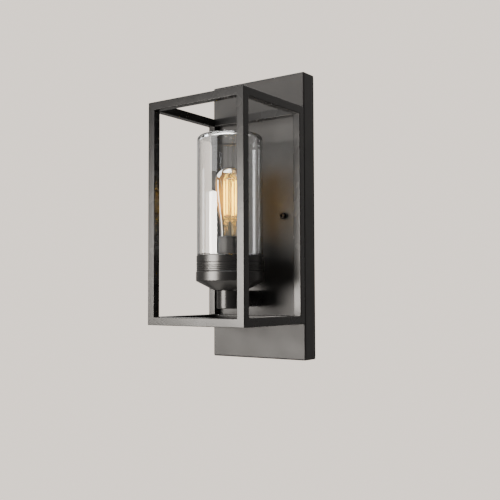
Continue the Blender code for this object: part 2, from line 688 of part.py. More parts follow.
def make_socket(axis):
    edge = 0.6 * MM
    body = [
        (0, SOCKET_SPLIT), (SOCKET_RADIUS, SOCKET_SPLIT), (SOCKET_RADIUS, SOCKET_TOP - edge),
        (SOCKET_RADIUS - edge, SOCKET_TOP), (SOCKET_BORE, SOCKET_TOP), (SOCKET_BORE, SOCKET_FLOOR),
        (0, SOCKET_FLOOR),
    ]
    turned("socket_body", body, "black_phenolic", FEW_SIDES, axis)
    wall = 1.5 * MM
    cap_top = SOCKET_SPLIT - GAP
    cap = [
        (NIPPLE_HOLE, SOCKET_BOTTOM), (SOCKET_RADIUS - wall, SOCKET_BOTTOM),
        (SOCKET_RADIUS, SOCKET_BOTTOM + wall), (SOCKET_RADIUS, cap_top), (SOCKET_RADIUS - wall, cap_top),
        (SOCKET_RADIUS - wall, SOCKET_BOTTOM + 2 * wall), (NIPPLE_HOLE, SOCKET_BOTTOM + 2 * wall),
    ]
    turned("socket_cap", cap, "black_phenolic", FEW_SIDES, axis)
    shell = [
        (SHELL_HOLE, SHELL_BOTTOM), (SHELL_RADIUS, SHELL_BOTTOM), (SHELL_RADIUS, SHELL_TOP),
        (SHELL_BORE, SHELL_TOP), (SHELL_BORE, SHELL_BOTTOM + SHELL_SHEET),
        (SHELL_HOLE, SHELL_BOTTOM + SHELL_SHEET),
    ]
    turned("socket_screw_shell", shell, "brass", FEW_SIDES, axis)
    low = SOCKET_FLOOR + GAP
    contact = [
        (0, low), (CONTACT_RADIUS, low), (CONTACT_RADIUS, low + CONTACT_SHEET),
        (CONTACT_RADIUS * 0.6, low + CONTACT_HEIGHT - 0.2 * MM), (0, low + CONTACT_HEIGHT),
    ]
    turned("socket_centre_contact", contact, "brass", TINY_SIDES, axis)


def bulb_radius(height):
    """The bulb's outer radius: it swells smoothly from the neck, and ends in a round dome."""
    if height > BULB_WIDEST:
        return math.sqrt(max(BULB_RADIUS**2 - (height - BULB_WIDEST) ** 2, 0.0))
    t = max((height - SOCKET_TOP) / (BULB_WIDEST - SOCKET_TOP), 0.0)
    return BULB_NECK_RADIUS + (BULB_RADIUS - BULB_NECK_RADIUS) * t * t * (3 - 2 * t)


def make_bulb_envelope(axis):
    """The thin glass, open at the bottom of its neck inside the screw base."""
    neck = BASE_BORE - GAP
    steps = 6
    heights = [SOCKET_TOP + (BULB_WIDEST - SOCKET_TOP) * i / steps for i in range(1, steps)]
    crown = [(0, BULB_WIDEST + BULB_RADIUS)]
    outer = arc(0, BULB_WIDEST, BULB_RADIUS, 90, 0, 5)[1:]
    outer += [(bulb_radius(height), height) for height in reversed(heights)]
    outer += [(BULB_NECK_RADIUS, BASE_TOP + 2 * GAP), (neck, BASE_TOP), (neck, BULB_NECK_BOTTOM)]
    inner = [(neck - BULB_WALL, BULB_NECK_BOTTOM), (neck - BULB_WALL, BASE_TOP)]
    inner += [(bulb_radius(height) - BULB_WALL, height) for height in heights]
    inner += arc(0, BULB_WIDEST, BULB_RADIUS - BULB_WALL, 0, 90, 5)[:-1]
    ceiling = [(0, BULB_WIDEST + BULB_RADIUS - BULB_WALL)]
    turned("bulb_envelope", crown + outer + inner + ceiling, "amber_glass", FEW_SIDES, axis)


def make_bulb_base(axis):
    """Screw shell with rounded threads, black insulator and solder tip."""
    threads = int((BASE_TOP - BASE_BOTTOM) / THREAD_PITCH)
    root = BASE_RADIUS - THREAD_DEPTH
    floor = BASE_BOTTOM + 2 * THREAD_DEPTH
    shell = [(INSULATOR_HOLE, BASE_BOTTOM), (root - THREAD_DEPTH, BASE_BOTTOM)]
    for turn in range(threads - 1):
        low = BASE_BOTTOM + THREAD_PITCH * (turn + 0.3)
        shell += [(root, low), (BASE_RADIUS, low + THREAD_PITCH / 2)]
    shell += [
        (root, BASE_TOP - THREAD_PITCH * 0.9), (root, BASE_TOP), (BASE_BORE, BASE_TOP),
        (BASE_BORE, floor), (INSULATOR_HOLE, floor),
    ]
    turned("bulb_screw_shell", shell, "nickel", FEW_SIDES, axis)
    top = BASE_BOTTOM - GAP
    insulator = [
        (0, INSULATOR_BOTTOM), (INSULATOR_END_RADIUS, INSULATOR_BOTTOM),
        (INSULATOR_RADIUS, top - 0.6 * MM), (INSULATOR_RADIUS, top), (0, top),
    ]
    turned("bulb_insulator", insulator, "black_phenolic", FEW_SIDES, axis)
    tip = [
        (0, TIP_BOTTOM), (TIP_RADIUS - 2 * MM, TIP_BOTTOM + 0.4 * MM), (TIP_RADIUS, TIP_TOP - 0.6 * MM),
        (TIP_RADIUS, TIP_TOP), (0, TIP_TOP),
    ]
    turned("bulb_tip_contact", tip, "nickel", TINY_SIDES, axis)


def filament_angles():
    return [FILAMENT_TURN + math.tau * i / FILAMENT_COUNT for i in range(FILAMENT_COUNT)]


def make_bulb_inside(axis):
    """Glass mount and rod, four upright filament strips between two holders, and two lead-in wires."""
    ring_top = FILAMENT_BOTTOM - GAP
    ring_low = ring_top - HOLDER_THICKNESS
    mount = [
        (0, MOUNT_BOTTOM), (MOUNT_RADIUS, MOUNT_BOTTOM), (MOUNT_RADIUS - 1.4 * MM, MOUNT_BOTTOM + 2.5 * MM),
        (MOUNT_STALK_RADIUS + 0.6 * MM, MOUNT_STALK_BOTTOM), (MOUNT_STALK_RADIUS, MOUNT_STALK_TOP),
        (MOUNT_ROD_RADIUS + 0.2 * MM, MOUNT_STALK_TOP + 4 * MM), (MOUNT_ROD_RADIUS, FILAMENT_TOP),
        (0, FILAMENT_TOP),
    ]
    turned("bulb_glass_mount", mount, "clear_glass", TINY_SIDES, axis)
    holder = ring(FILAMENT_CIRCLE - MM, FILAMENT_CIRCLE + MM, ring_low, ring_top)
    turned("filament_ring", holder, "zinc_steel", FEW_SIDES, axis)
    make_filament_cross(axis, FILAMENT_TOP + GAP)
    for i, angle in enumerate(filament_angles()):
        place = (FILAMENT_CIRCLE * math.cos(angle), FILAMENT_CIRCLE * math.sin(angle), 0)
        strip = [
            (0, FILAMENT_BOTTOM), (FILAMENT_RADIUS, FILAMENT_BOTTOM + 0.5 * MM),
            (FILAMENT_RADIUS, FILAMENT_TOP - 0.5 * MM), (0, FILAMENT_TOP),
        ]
        turned(f"filament_strip_{i + 1}", strip, "filament", 8, axis, place=place)
    for side, sign in (("left", -1), ("right", 1)):
        beside_stalk = MOUNT_STALK_RADIUS + 0.8 * MM
        route = [
            (sign * beside_stalk, 0, MOUNT_STALK_TOP),
            (sign * (beside_stalk + 0.4 * MM), 0, MOUNT_STALK_TOP + 4 * MM),
            (sign * (FILAMENT_CIRCLE - 1.4 * MM), 0, MOUNT_STALK_TOP + 7 * MM),
            (sign * FILAMENT_CIRCLE, 0, ring_low - GAP),
        ]
        lead = f"bulb_lead_in_{side}"
        wire(lead, route, LEAD_IN_RADIUS, "nickel", steps=3, parent=axis, roundness=1)


def make_filament_cross(axis, low):
    """The four-armed holder on top of the glass rod, one arm over each filament strip."""
    bm = bmesh.new()
    width = 0.6 * MM
    reach = FILAMENT_CIRCLE + 0.8 * MM
    corners = []
    for angle in filament_angles():
        arm = Vector((math.cos(angle), math.sin(angle), 0))
        side = Vector((-math.sin(angle), math.cos(angle), 0))
        corners += [arm * width - side * width, arm * reach - side * width, arm * reach + side * width]
    base = Vector((0, 0, low))
    face = bm.faces.new([bm.verts.new(base + corner) for corner in corners])
    moved = bmesh.ops.extrude_face_region(bm, geom=[face])
    top = [item for item in moved["geom"] if isinstance(item, bmesh.types.BMVert)]
    bmesh.ops.translate(bm, vec=(0, 0, HOLDER_THICKNESS), verts=top)
    obj = mesh_piece("filament_cross", bm, "zinc_steel")
    obj.parent = axis


# ---------------------------------------------------------------- wiring


def make_leads():
    """Live and neutral from the socket through stem and arm to their connectors, and the ground."""
    lamp_y = -LAMP_OUT
    bore_x = 1.4 * MM
    bend = ARM_HEIGHT + 0.8 * MM
    for name, sign, finish in (("live_lead", 1, "black_wire"), ("neutral_lead", -1, "white_wire")):
        in_bore = sign * bore_x
        in_box = sign * CONNECTOR_X
        route = [
            (sign * 7 * MM, lamp_y, SOCKET_SPLIT - 1.5 * MM), (sign * 6 * MM, lamp_y, -71 * MM),
            (in_bore, lamp_y, -77.5 * MM), (in_bore, lamp_y, -84 * MM), (in_bore, lamp_y, -94 * MM),
            (in_bore, lamp_y + 0.6 * MM, -101 * MM), (in_bore, lamp_y + 3.5 * MM, -106 * MM),
            (in_bore, lamp_y + 9 * MM, bend), (in_bore, -68 * MM, bend), (in_bore, -56 * MM, bend),
            (in_bore, -44 * MM, bend), (in_bore, -32 * MM, bend), (in_bore, -23 * MM, bend),
            (in_bore, -16.2 * MM, bend), (2 * in_bore, -12.6 * MM, -105 * MM),
            (in_box / 2, -CONNECTOR_OUT, -96 * MM), (in_box - sign * 2 * MM, -CONNECTOR_OUT, -84 * MM),
            (in_box, -CONNECTOR_OUT, CONNECTOR_BOTTOM), (in_box, -CONNECTOR_OUT, CONNECTOR_SKIRT - 2 * MM),
        ]
        wire(name, route, WIRE_RADIUS, finish, steps=2)
        connector = [
            (0, CONNECTOR_FLOOR), (CONNECTOR_BORE, CONNECTOR_FLOOR), (CONNECTOR_BORE, CONNECTOR_BOTTOM),
            (CONNECTOR_RADIUS, CONNECTOR_BOTTOM), (CONNECTOR_RADIUS - 0.5 * MM, CONNECTOR_SKIRT),
            (CONNECTOR_TOP_RADIUS, CONNECTOR_TOP), (0, CONNECTOR_TOP),
        ]
        turned(
            name.replace("lead", "connector"), connector, "yellow_plastic", TINY_SIDES,
            place=(in_box, -CONNECTOR_OUT, 0),
        )
    low = ARM_HEIGHT - 1.6 * MM
    ground = [
        (0, lamp_y - 8 * MM, -114 * MM), (0, lamp_y + 1 * MM, -114 * MM), (0, lamp_y + 12 * MM, -112 * MM),
        (0, lamp_y + 22 * MM, low), (0, -54 * MM, low), (0, -42 * MM, low), (0, -30 * MM, low),
        (0, -18 * MM, low), (0, -10.5 * MM, -109.5 * MM), (0, -5.4 * MM, -103 * MM),
        (0, -4.4 * MM, -92 * MM), (-2 * MM, -4.2 * MM, -76 * MM), (-7 * MM, -4.2 * MM, -50 * MM),
        (-13 * MM, -4.2 * MM, -26 * MM), (GROUND_SCREW_X, -4.0 * MM, -12 * MM),
        (GROUND_SCREW_X, -3.8 * MM, -4.8 * MM),
    ]
    wire("ground_lead", ground, WIRE_RADIUS, "green_wire", steps=2)


def main():
    clear_scene()
    lamp_axis = carrier("lamp_axis", (0, -LAMP_OUT, 0))
    bulb_axis = carrier("bulb_axis", (0, -LAMP_OUT, 0))
    make_backplate()
    make_wall_gasket()
    make_crossbar()
    make_mounting_screw("left", -SCREW_SPACING / 2)
    make_mounting_screw("right", SCREW_SPACING / 2)
    make_ground_screw()
    make_cage()
    make_cage_screws()
    make_arm()
    make_stem(lamp_axis)
    make_cup(lamp_axis)
    make_collar(lamp_axis)
    make_shade(lamp_axis)
    make_shade_gasket(lamp_axis)
    make_socket(lamp_axis)
    make_bulb_envelope(bulb_axis)
    make_bulb_base(bulb_axis)
    make_bulb_inside(bulb_axis)
    make_leads()


main()
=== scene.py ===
"""The looks of the outdoor wall lantern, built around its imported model.

The wall is the plane y = 0, -Y points into the room and +Z is up. Heights and distances out of the wall
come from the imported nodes' boxes. Pieces are modelled in millimetres and finished in metres. A detailed
piece is named after the node that it stands for.
"""

import json
import math
from itertools import product

import bmesh
import bpy
from mathutils import Matrix, Vector


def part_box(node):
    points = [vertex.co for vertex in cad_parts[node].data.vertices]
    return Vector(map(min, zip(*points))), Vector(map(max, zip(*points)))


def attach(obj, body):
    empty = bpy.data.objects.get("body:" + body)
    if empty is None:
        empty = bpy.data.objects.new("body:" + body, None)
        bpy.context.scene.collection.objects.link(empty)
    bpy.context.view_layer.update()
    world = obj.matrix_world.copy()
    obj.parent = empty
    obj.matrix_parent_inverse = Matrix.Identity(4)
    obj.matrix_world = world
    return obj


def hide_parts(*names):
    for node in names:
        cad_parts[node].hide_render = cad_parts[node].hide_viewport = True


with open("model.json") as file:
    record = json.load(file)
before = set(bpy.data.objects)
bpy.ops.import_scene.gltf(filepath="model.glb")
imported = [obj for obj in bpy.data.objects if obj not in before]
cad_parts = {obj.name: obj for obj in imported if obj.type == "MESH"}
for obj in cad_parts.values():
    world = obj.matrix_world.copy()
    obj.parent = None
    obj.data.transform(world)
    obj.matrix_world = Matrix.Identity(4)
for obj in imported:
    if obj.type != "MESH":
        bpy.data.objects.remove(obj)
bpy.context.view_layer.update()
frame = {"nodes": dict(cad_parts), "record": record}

MM = 0.001
TINY = 0.001
ORIGIN = (0, 0, 0)

BODY_OF = {node: body for body, nodes in frame["record"]["behaviour"]["bodies"].items() for node in nodes}

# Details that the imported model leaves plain, in millimetres.
GAP = 0.3
CAGE_EDGE = 0.8
PAN_SHEET = 1.4
PAN_CORNER = 2.0
SCREW_PITCH = 0.8
LAMP_PITCH = 3.63
NIPPLE_PITCH = 1.0
COLLAR_PITCH = 1.5
SCREW_SHANK = 2.5
CAGE_SCREW_SHANK = 1.75
GROUND_SCREW_SHANK = 1.9
NUT_ACROSS_FLATS = 14
HEX_KEY = 4.0
NIPPLE_HOLE = 5.3
NIPPLE_BORE = 3.5
ARM_BORE = 8
WIRE_RADIUS = 1.05

SIDES = ("left", "right")
CAGE_SCREWS = [f"{vertical}_{side}" for vertical in ("top", "bottom") for side in SIDES]


# ---- places, read from the frame


def box(node):
    """The node's lowest and highest corner, in millimetres."""
    return [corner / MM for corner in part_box(node)]


def low(node):
    return box(node)[0]


def high(node):
    return box(node)[1]


def size(node):
    return high(node) - low(node)


def middle(node):
    return sum(box(node), Vector()) / 2


def radius(node):
    """Radius of a node that is round about an upright axis or an axis out of the wall."""
    return size(node).x / 2


def starts(node):
    """The node's nearest distance to the wall."""
    return -high(node).y


def ends(node):
    """The node's farthest distance from the wall."""
    return -low(node).y


def depths(node):
    return starts(node), ends(node)


def heights(node):
    return low(node).z, high(node).z


def axis_of(node):
    """A point on the axis of a node that is turned out of the wall."""
    return middle(node) * Vector((1, 0, 1))


LAMP = Vector((0, middle("lamp_cup").y, 0))


def span(node, out):
    """A point on the axis of a turned node, and the node's two ends along it."""
    return (axis_of(node), *depths(node)) if out else (LAMP, *heights(node))


# ---- mesh helpers


def arc(centre_r, centre_z, reach, start_deg, end_deg, steps):
    angles = [math.radians(start_deg + (end_deg - start_deg) * i / steps) for i in range(steps + 1)]
    return [(centre_r + reach * math.cos(a), centre_z + reach * math.sin(a)) for a in angles]


def rounded(corners, closed=False, steps=5):
    """The corners (r, h) or (r, h, fillet) as an outline whose filleted corners are arcs."""
    outline = []
    count = len(corners)
    for i, corner in enumerate(corners):
        here = Vector(corner[:2])
        fillet = corner[2] if len(corner) > 2 else 0.0
        if fillet <= 0 or (not closed and i in (0, count - 1)):
            outline.append(tuple(here))
            continue
        back = Vector(corners[i - 1][:2]) - here
        ahead = Vector(corners[(i + 1) % count][:2]) - here
        half = back.angle(ahead) / 2
        run = min(fillet / math.tan(half), 0.49 * back.length, 0.49 * ahead.length)
        reach = run * math.tan(half)
        centre = here + (back.normalized() + ahead.normalized()).normalized() * (reach / math.sin(half))
        first = here + back.normalized() * run - centre
        last = here + ahead.normalized() * run - centre
        sweep = first.angle_signed(last)
        start = math.atan2(first.y, first.x)
        for k in range(steps + 1):
            angle = start - sweep * k / steps
            outline.append((centre.x + reach * math.cos(angle), centre.y + reach * math.sin(angle)))
    return outline


def helix(phase, depth):
    """How far a thread's flank lies below its crest, as a function of the angle round the axis."""
    return lambda angle: -depth * (0.5 - 0.5 * math.cos(math.tau * phase - angle))


def thread(reach, start, end, pitch, depth, per_turn=8):
    """Outline points of a thread whose crest is at reach. A negative depth cuts outwards, as in a nut."""
    count = max(2, round(abs(end - start) / pitch * per_turn))
    points = []
    for i in range(count + 1):
        height = start + (end - start) * i / count
        fade = min(1.0, i / per_turn, (count - i) / per_turn)
        points.append((reach, height, helix(height / pitch, depth * fade)))
    return points


def ribs(count, depth):
    """Upright ribs round an axis, as a function of the angle."""
    return lambda angle: -depth * (0.5 - 0.5 * math.cos(count * angle))


def add_object(name, data):
    made = bpy.data.objects.new(name, data)
    bpy.context.scene.collection.objects.link(made)
    return made


def smooth(piece, sharp_deg):
    piece.data.shade_smooth()
    piece.data.set_sharp_from_angle(angle=math.radians(sharp_deg))


def place_mesh(bm, place=ORIGIN):
    """Move the mesh to its place, and turn its millimetres into metres."""
    bmesh.ops.translate(bm, vec=place, verts=bm.verts)
    bmesh.ops.scale(bm, vec=(MM, MM, MM), verts=bm.verts)


def finish_mesh(name, bm, material, sharp_deg):
    bmesh.ops.recalc_face_normals(bm, faces=bm.faces)
    mesh = bpy.data.meshes.new(name)
    bm.to_mesh(mesh)
    bm.free()
    if material:
        mesh.materials.append(material)
    piece = add_object(name, mesh)
    smooth(piece, sharp_deg)
    return piece


def extrude(bm, corners, offset):
    face = bm.faces.new([bm.verts.new(corner) for corner in corners])
    moved = bmesh.ops.extrude_face_region(bm, geom=[face])
    top = [item for item in moved["geom"] if isinstance(item, bmesh.types.BMVert)]
    bmesh.ops.translate(bm, vec=offset, verts=top)


def bevel(bm, edges, offset, segments):
    """Round edges of a mesh that is in metres, by an offset in millimetres."""
    bmesh.ops.bevel(
        bm, geom=edges, offset=offset * MM, offset_type="OFFSET", segments=segments, profile=0.5,
        affect="EDGES",
    )


def lathe(name, outline, material, place=None, sides=96, out=False, sharp_deg=30):
    """Turn an outline of (radius, height) points about an axis, upright or, with out, out of the wall.

    A point may carry a third item, a function that gives its offset in radius at each angle. An outline
    that leaves the axis free is closed into a ring.
    """
    bm = bmesh.new()
    rings = []
    for point in outline:
        reach, height = point[:2]
        if reach < TINY:
            rings.append([bm.verts.new((0, 0, height))])
            continue
        ring = []
        for i in range(sides):
            angle = math.tau * i / sides
            here = reach + (point[2](angle) if len(point) > 2 else 0.0)
            ring.append(bm.verts.new((here * math.cos(angle), here * math.sin(angle), height)))
        rings.append(ring)
    pairs = list(zip(rings, rings[1:]))
    if outline[0][0] > TINY:
        pairs.append((rings[-1], rings[0]))
    for first, second in pairs:
        for i in range(sides):
            corners = [
                first[i % len(first)], first[(i + 1) % len(first)],
                second[(i + 1) % len(second)], second[i % len(second)],
            ]
            bm.faces.new(dict.fromkeys(corners))
    if out:
        bmesh.ops.rotate(bm, matrix=Matrix.Rotation(math.pi / 2, 3, "X"), verts=bm.verts)
    place_mesh(bm, LAMP if place is None else place)
    return finish_mesh(name, bm, material, sharp_deg)


def slab(name, outline, near, far, material, place=ORIGIN, edge=0.0):
    """Extrude a closed outline of (x, z) points out of the wall, with softened edges."""
    bm = bmesh.new()
    extrude(bm, [(x, -near, z) for x, z in outline], (0, near - far, 0))
    rims = [e for e in bm.edges if abs((e.verts[0].co - e.verts[1].co).y) < TINY]
    place_mesh(bm, place)
    if edge:
        bevel(bm, rims, edge, 2)
    return finish_mesh(name, bm, material, 35)


def rectangle(width, height):
    x = width / 2
    z = height / 2
    return [(-x, -z), (x, -z), (x, z), (-x, z)]


def rounded_rectangle(width, height, corner, steps=6):
    return rounded([(*point, corner) for point in rectangle(width, height)], True, steps)


def block(reach, first, last):
    """The outline of a plain cylinder."""
    return [(0, first), (reach, first), (reach, last), (0, last)]


def band(inner, outer, first, last, soft):
    """The outline of a ring with soft edges."""
    corners = [(inner, first, soft), (outer, first, soft), (outer, last, soft), (inner, last, soft)]
    return rounded(corners, True)


def apply_modifiers(piece, sharp_deg=None):
    view = bpy.context.evaluated_depsgraph_get()
    shaped = bpy.data.meshes.new_from_object(piece.evaluated_get(view), depsgraph=view)
    piece.modifiers.clear()
    piece.data = shaped
    if sharp_deg:
        smooth(piece, sharp_deg)


def carve(piece, tool, operation="DIFFERENCE", sharp_deg=30):
    """Combine the piece with a tool by an exact Boolean, and remove the tool."""
    modifier = piece.modifiers.new("carve", "BOOLEAN")
    modifier.operation = operation
    modifier.solver = "EXACT"
    modifier.object = tool
    apply_modifiers(piece, sharp_deg)
    bpy.data.objects.remove(tool, do_unlink=True)


def even_shading(piece):
    """Let large flat faces keep flat shading beside their rounded edges."""
    modifier = piece.modifiers.new("even_shading", "WEIGHTED_NORMAL")
    modifier.keep_sharp = True
    modifier.weight = 100
    return piece


def drill(piece, node, at, reach, sides=48):
    """Drill the node's piece through, on the axis of another node."""
    near, far = depths(node)
    tool = lathe("drill", block(reach, near - 5, far + 5), None, axis_of(at), sides, True)
    carve(piece, tool, sharp_deg=35)


def settle(piece, slot, *nodes):
    """The piece stands for the nodes and rides on their body."""
    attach(piece, BODY_OF[nodes[0]])
    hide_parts(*nodes)
    return piece


def detailed(node):
    return f"{node}_detail"


def turn(node, outline, material, slot, place=None, sides=96, out=False, sharp_deg=30):
    """Turn the piece that stands for the node."""
    return settle(lathe(detailed(node), outline, material, place, sides, out, sharp_deg), slot, node)


# ---- materials


def set_sockets(tree, node, **sockets):
    """Set a node's sockets to values, or join them to other nodes' outputs."""
    for name, value in sockets.items():
        join(tree, node.inputs[name.replace("_", " ")], value)
    return node


def join(tree, socket, value):
    if isinstance(value, bpy.types.NodeSocket):
        tree.links.new(value, socket)
    else:
        socket.default_value = value


def add_node(tree, kind, **sockets):
    return set_sockets(tree, tree.nodes.new(f"ShaderNode{kind}"), **sockets)


def compute(tree, kind, operation, *values):
    """The result of a Math or VectorMath node."""
    node = add_node(tree, kind)
    node.operation = operation
    for socket, value in zip(node.inputs, values):
        join(tree, socket, value)
    return node.outputs["Value"]


def ranged(tree, value, start, end, first, last, steps="LINEAR"):
    """The value's way from start to end, as a number from first to last."""
    node = add_node(tree, "MapRange", Value=value, From_Min=start, From_Max=end, To_Min=first, To_Max=last)
    node.interpolation_type = steps
    return node.outputs["Result"]


def choose(tree, factor, first, second, output):
    """Show the first shader where the factor is 0, and the second where it is 1."""
    mix = add_node(tree, "MixShader")
    for socket, value in zip(mix.inputs, (factor, first, second)):
        join(tree, socket, value)
    set_sockets(tree, tree.nodes[output], Surface=mix.outputs["Shader"])


class Surface:
    """A Principled material that is built up from layers of procedural detail in object space."""

    def __init__(self, name, colour, roughness, metallic=0.0, **sockets):
        self.material = bpy.data.materials.new(name)
        self.material.use_nodes = True
        self.tree = self.material.node_tree
        self.shader = self.tree.nodes["Principled BSDF"]
        self.colour = (*colour, 1.0)
        self.set(Base_Color=self.colour, Roughness=roughness, Metallic=metallic, **sockets)
        self.place = self.add("TexCoord").outputs["Object"]
        self.normal = None

    def add(self, kind, **sockets):
        return add_node(self.tree, kind, **sockets)

    def set(self, **sockets):
        set_sockets(self.tree, self.shader, **sockets)
        return self

    def noise(self, size, detail=3.0, stretch=(1, 1, 1)):
        """Noise whose features measure about size, times stretch along each axis."""
        place = self.add("Mapping", Vector=self.place, Scale=[1 / s for s in stretch]).outputs["Vector"]
        return self.add("TexNoise", Vector=place, Scale=1 / (size * MM), Detail=detail).outputs["Fac"]

    def cells(self, size):
        return self.add("TexVoronoi", Vector=self.place, Scale=1 / (size * MM)).outputs["Distance"]

    def spread(self, factor, lowest, highest):
        """The factor's middle range as a number from lowest to highest."""
        return ranged(self.tree, factor, 0.3, 0.7, lowest, highest)

    def tint(self, factor, second):
        """Vary the colour between the surface's own and a second one."""
        mix = self.add("Mix")
        mix.data_type = "RGBA"
        set_sockets(self.tree, mix, Factor=self.spread(factor, 0.0, 1.0), A=self.colour, B=(*second, 1.0))
        return self.set(Base_Color=mix.outputs["Result"])

    def roughness(self, factor, lowest, highest):
        return self.set(Roughness=self.spread(factor, lowest, highest))

    def bump(self, factor, depth, strength=1.0):
        """Raise the surface by the factor. Layers add up."""
        bump = self.add("Bump", Strength=strength, Distance=depth * MM, Height=factor)
        if self.normal is not None:
            set_sockets(self.tree, bump, Normal=self.normal)
        self.normal = bump.outputs["Normal"]
        return self.set(Normal=self.normal)

    def let_lamps_through(self, colour):
        """Clear glass casts no solid shadow: rays towards lamps pass it, slightly tinted."""
        shadow = self.add("LightPath").outputs["Is Shadow Ray"]
        clear = self.add("BsdfTransparent", Color=(*colour, 1.0)).outputs["BSDF"]
        choose(self.tree, shadow, self.shader.outputs["BSDF"], clear, "Material Output")

    def gleam(self, weight, index):
        """Give the surface a more mirror-like skin."""
        return self.set(Coat_Weight=weight, Coat_IOR=index, Coat_Roughness=0.0)

    def glow(self, colour, strength, middle, reach):
        """Paint a glow into the surface between middle - reach and middle + reach, measured upwards: painted
        light, as the surface itself is no lamp.
        """
        height = self.add("SeparateXYZ", Vector=self.place).outputs["Z"]
        rise = compute(self.tree, "Math", "SUBTRACT", height, middle * MM)
        away = compute(self.tree, "Math", "ABSOLUTE", rise)
        fade = ranged(self.tree, away, 0.0, reach * MM, strength, 0.0, "SMOOTHSTEP")
        return self.set(Emission_Strength=fade, Emission_Color=(*colour, 1.0))

    def fade_out(self, start, end):
        """Let a flat round surface dissolve between two distances from its middle, in metres."""
        distance = compute(self.tree, "VectorMath", "LENGTH", self.place)
        return self.set(Alpha=ranged(self.tree, distance, start, end, 1.0, 0.0, "SMOOTHSTEP"))


def powder_coat(name, colour, lighter, roughness, shine):
    """Satin powder coat: a fine orange peel, with faint cloudiness in its gloss and colour."""
    look = Surface(name, colour, roughness, Specular_IOR_Level=shine)
    look.tint(look.noise(18, 1.0), lighter)
    look.roughness(look.noise(26, 1.0), roughness - 0.015, roughness + 0.025)
    look.bump(look.noise(1.5, 2.0), 0.002, 0.6)
    look.bump(look.noise(0.45, 2.0), 0.0015, 0.6)
    return look.material


def plated(name, colour, second, roughness, stretch=(1, 1, 1)):
    """Plated or drawn metal with fine tool marks."""
    look = Surface(name, colour, roughness, 1.0)
    look.tint(look.noise(3, 4.0), second)
    look.roughness(look.noise(1.2, 4.0, stretch), roughness - 0.06, roughness + 0.08)
    look.bump(look.noise(0.5, 3.0, stretch), 0.01, 0.5)
    return look.material


def moulded(name, colour, second, roughness, depth=0.01):
    """Moulded plastic or rubber."""
    look = Surface(name, colour, roughness)
    look.tint(look.noise(5, 3.0), second)
    look.roughness(look.noise(2), roughness - 0.05, roughness + 0.08)
    look.bump(look.noise(0.6, 2.0), depth, 0.7)
    return look.material


def clear_glass(name, colour, wave_size, wave_depth, shine=0.5, shade=0.95):
    """Clear glass with slightly uneven drawn surfaces."""
    look = Surface(name, colour, 0.0, Transmission_Weight=1.0, IOR=1.5, Specular_IOR_Level=shine)
    look.tint(look.noise(30, 1.0), [min(1.0, c * 1.01) for c in colour])
    look.bump(look.noise(wave_size, 1.0, (1, 1, 4)), wave_depth, 0.5)
    look.let_lamps_through([c * shade for c in colour])
    return look


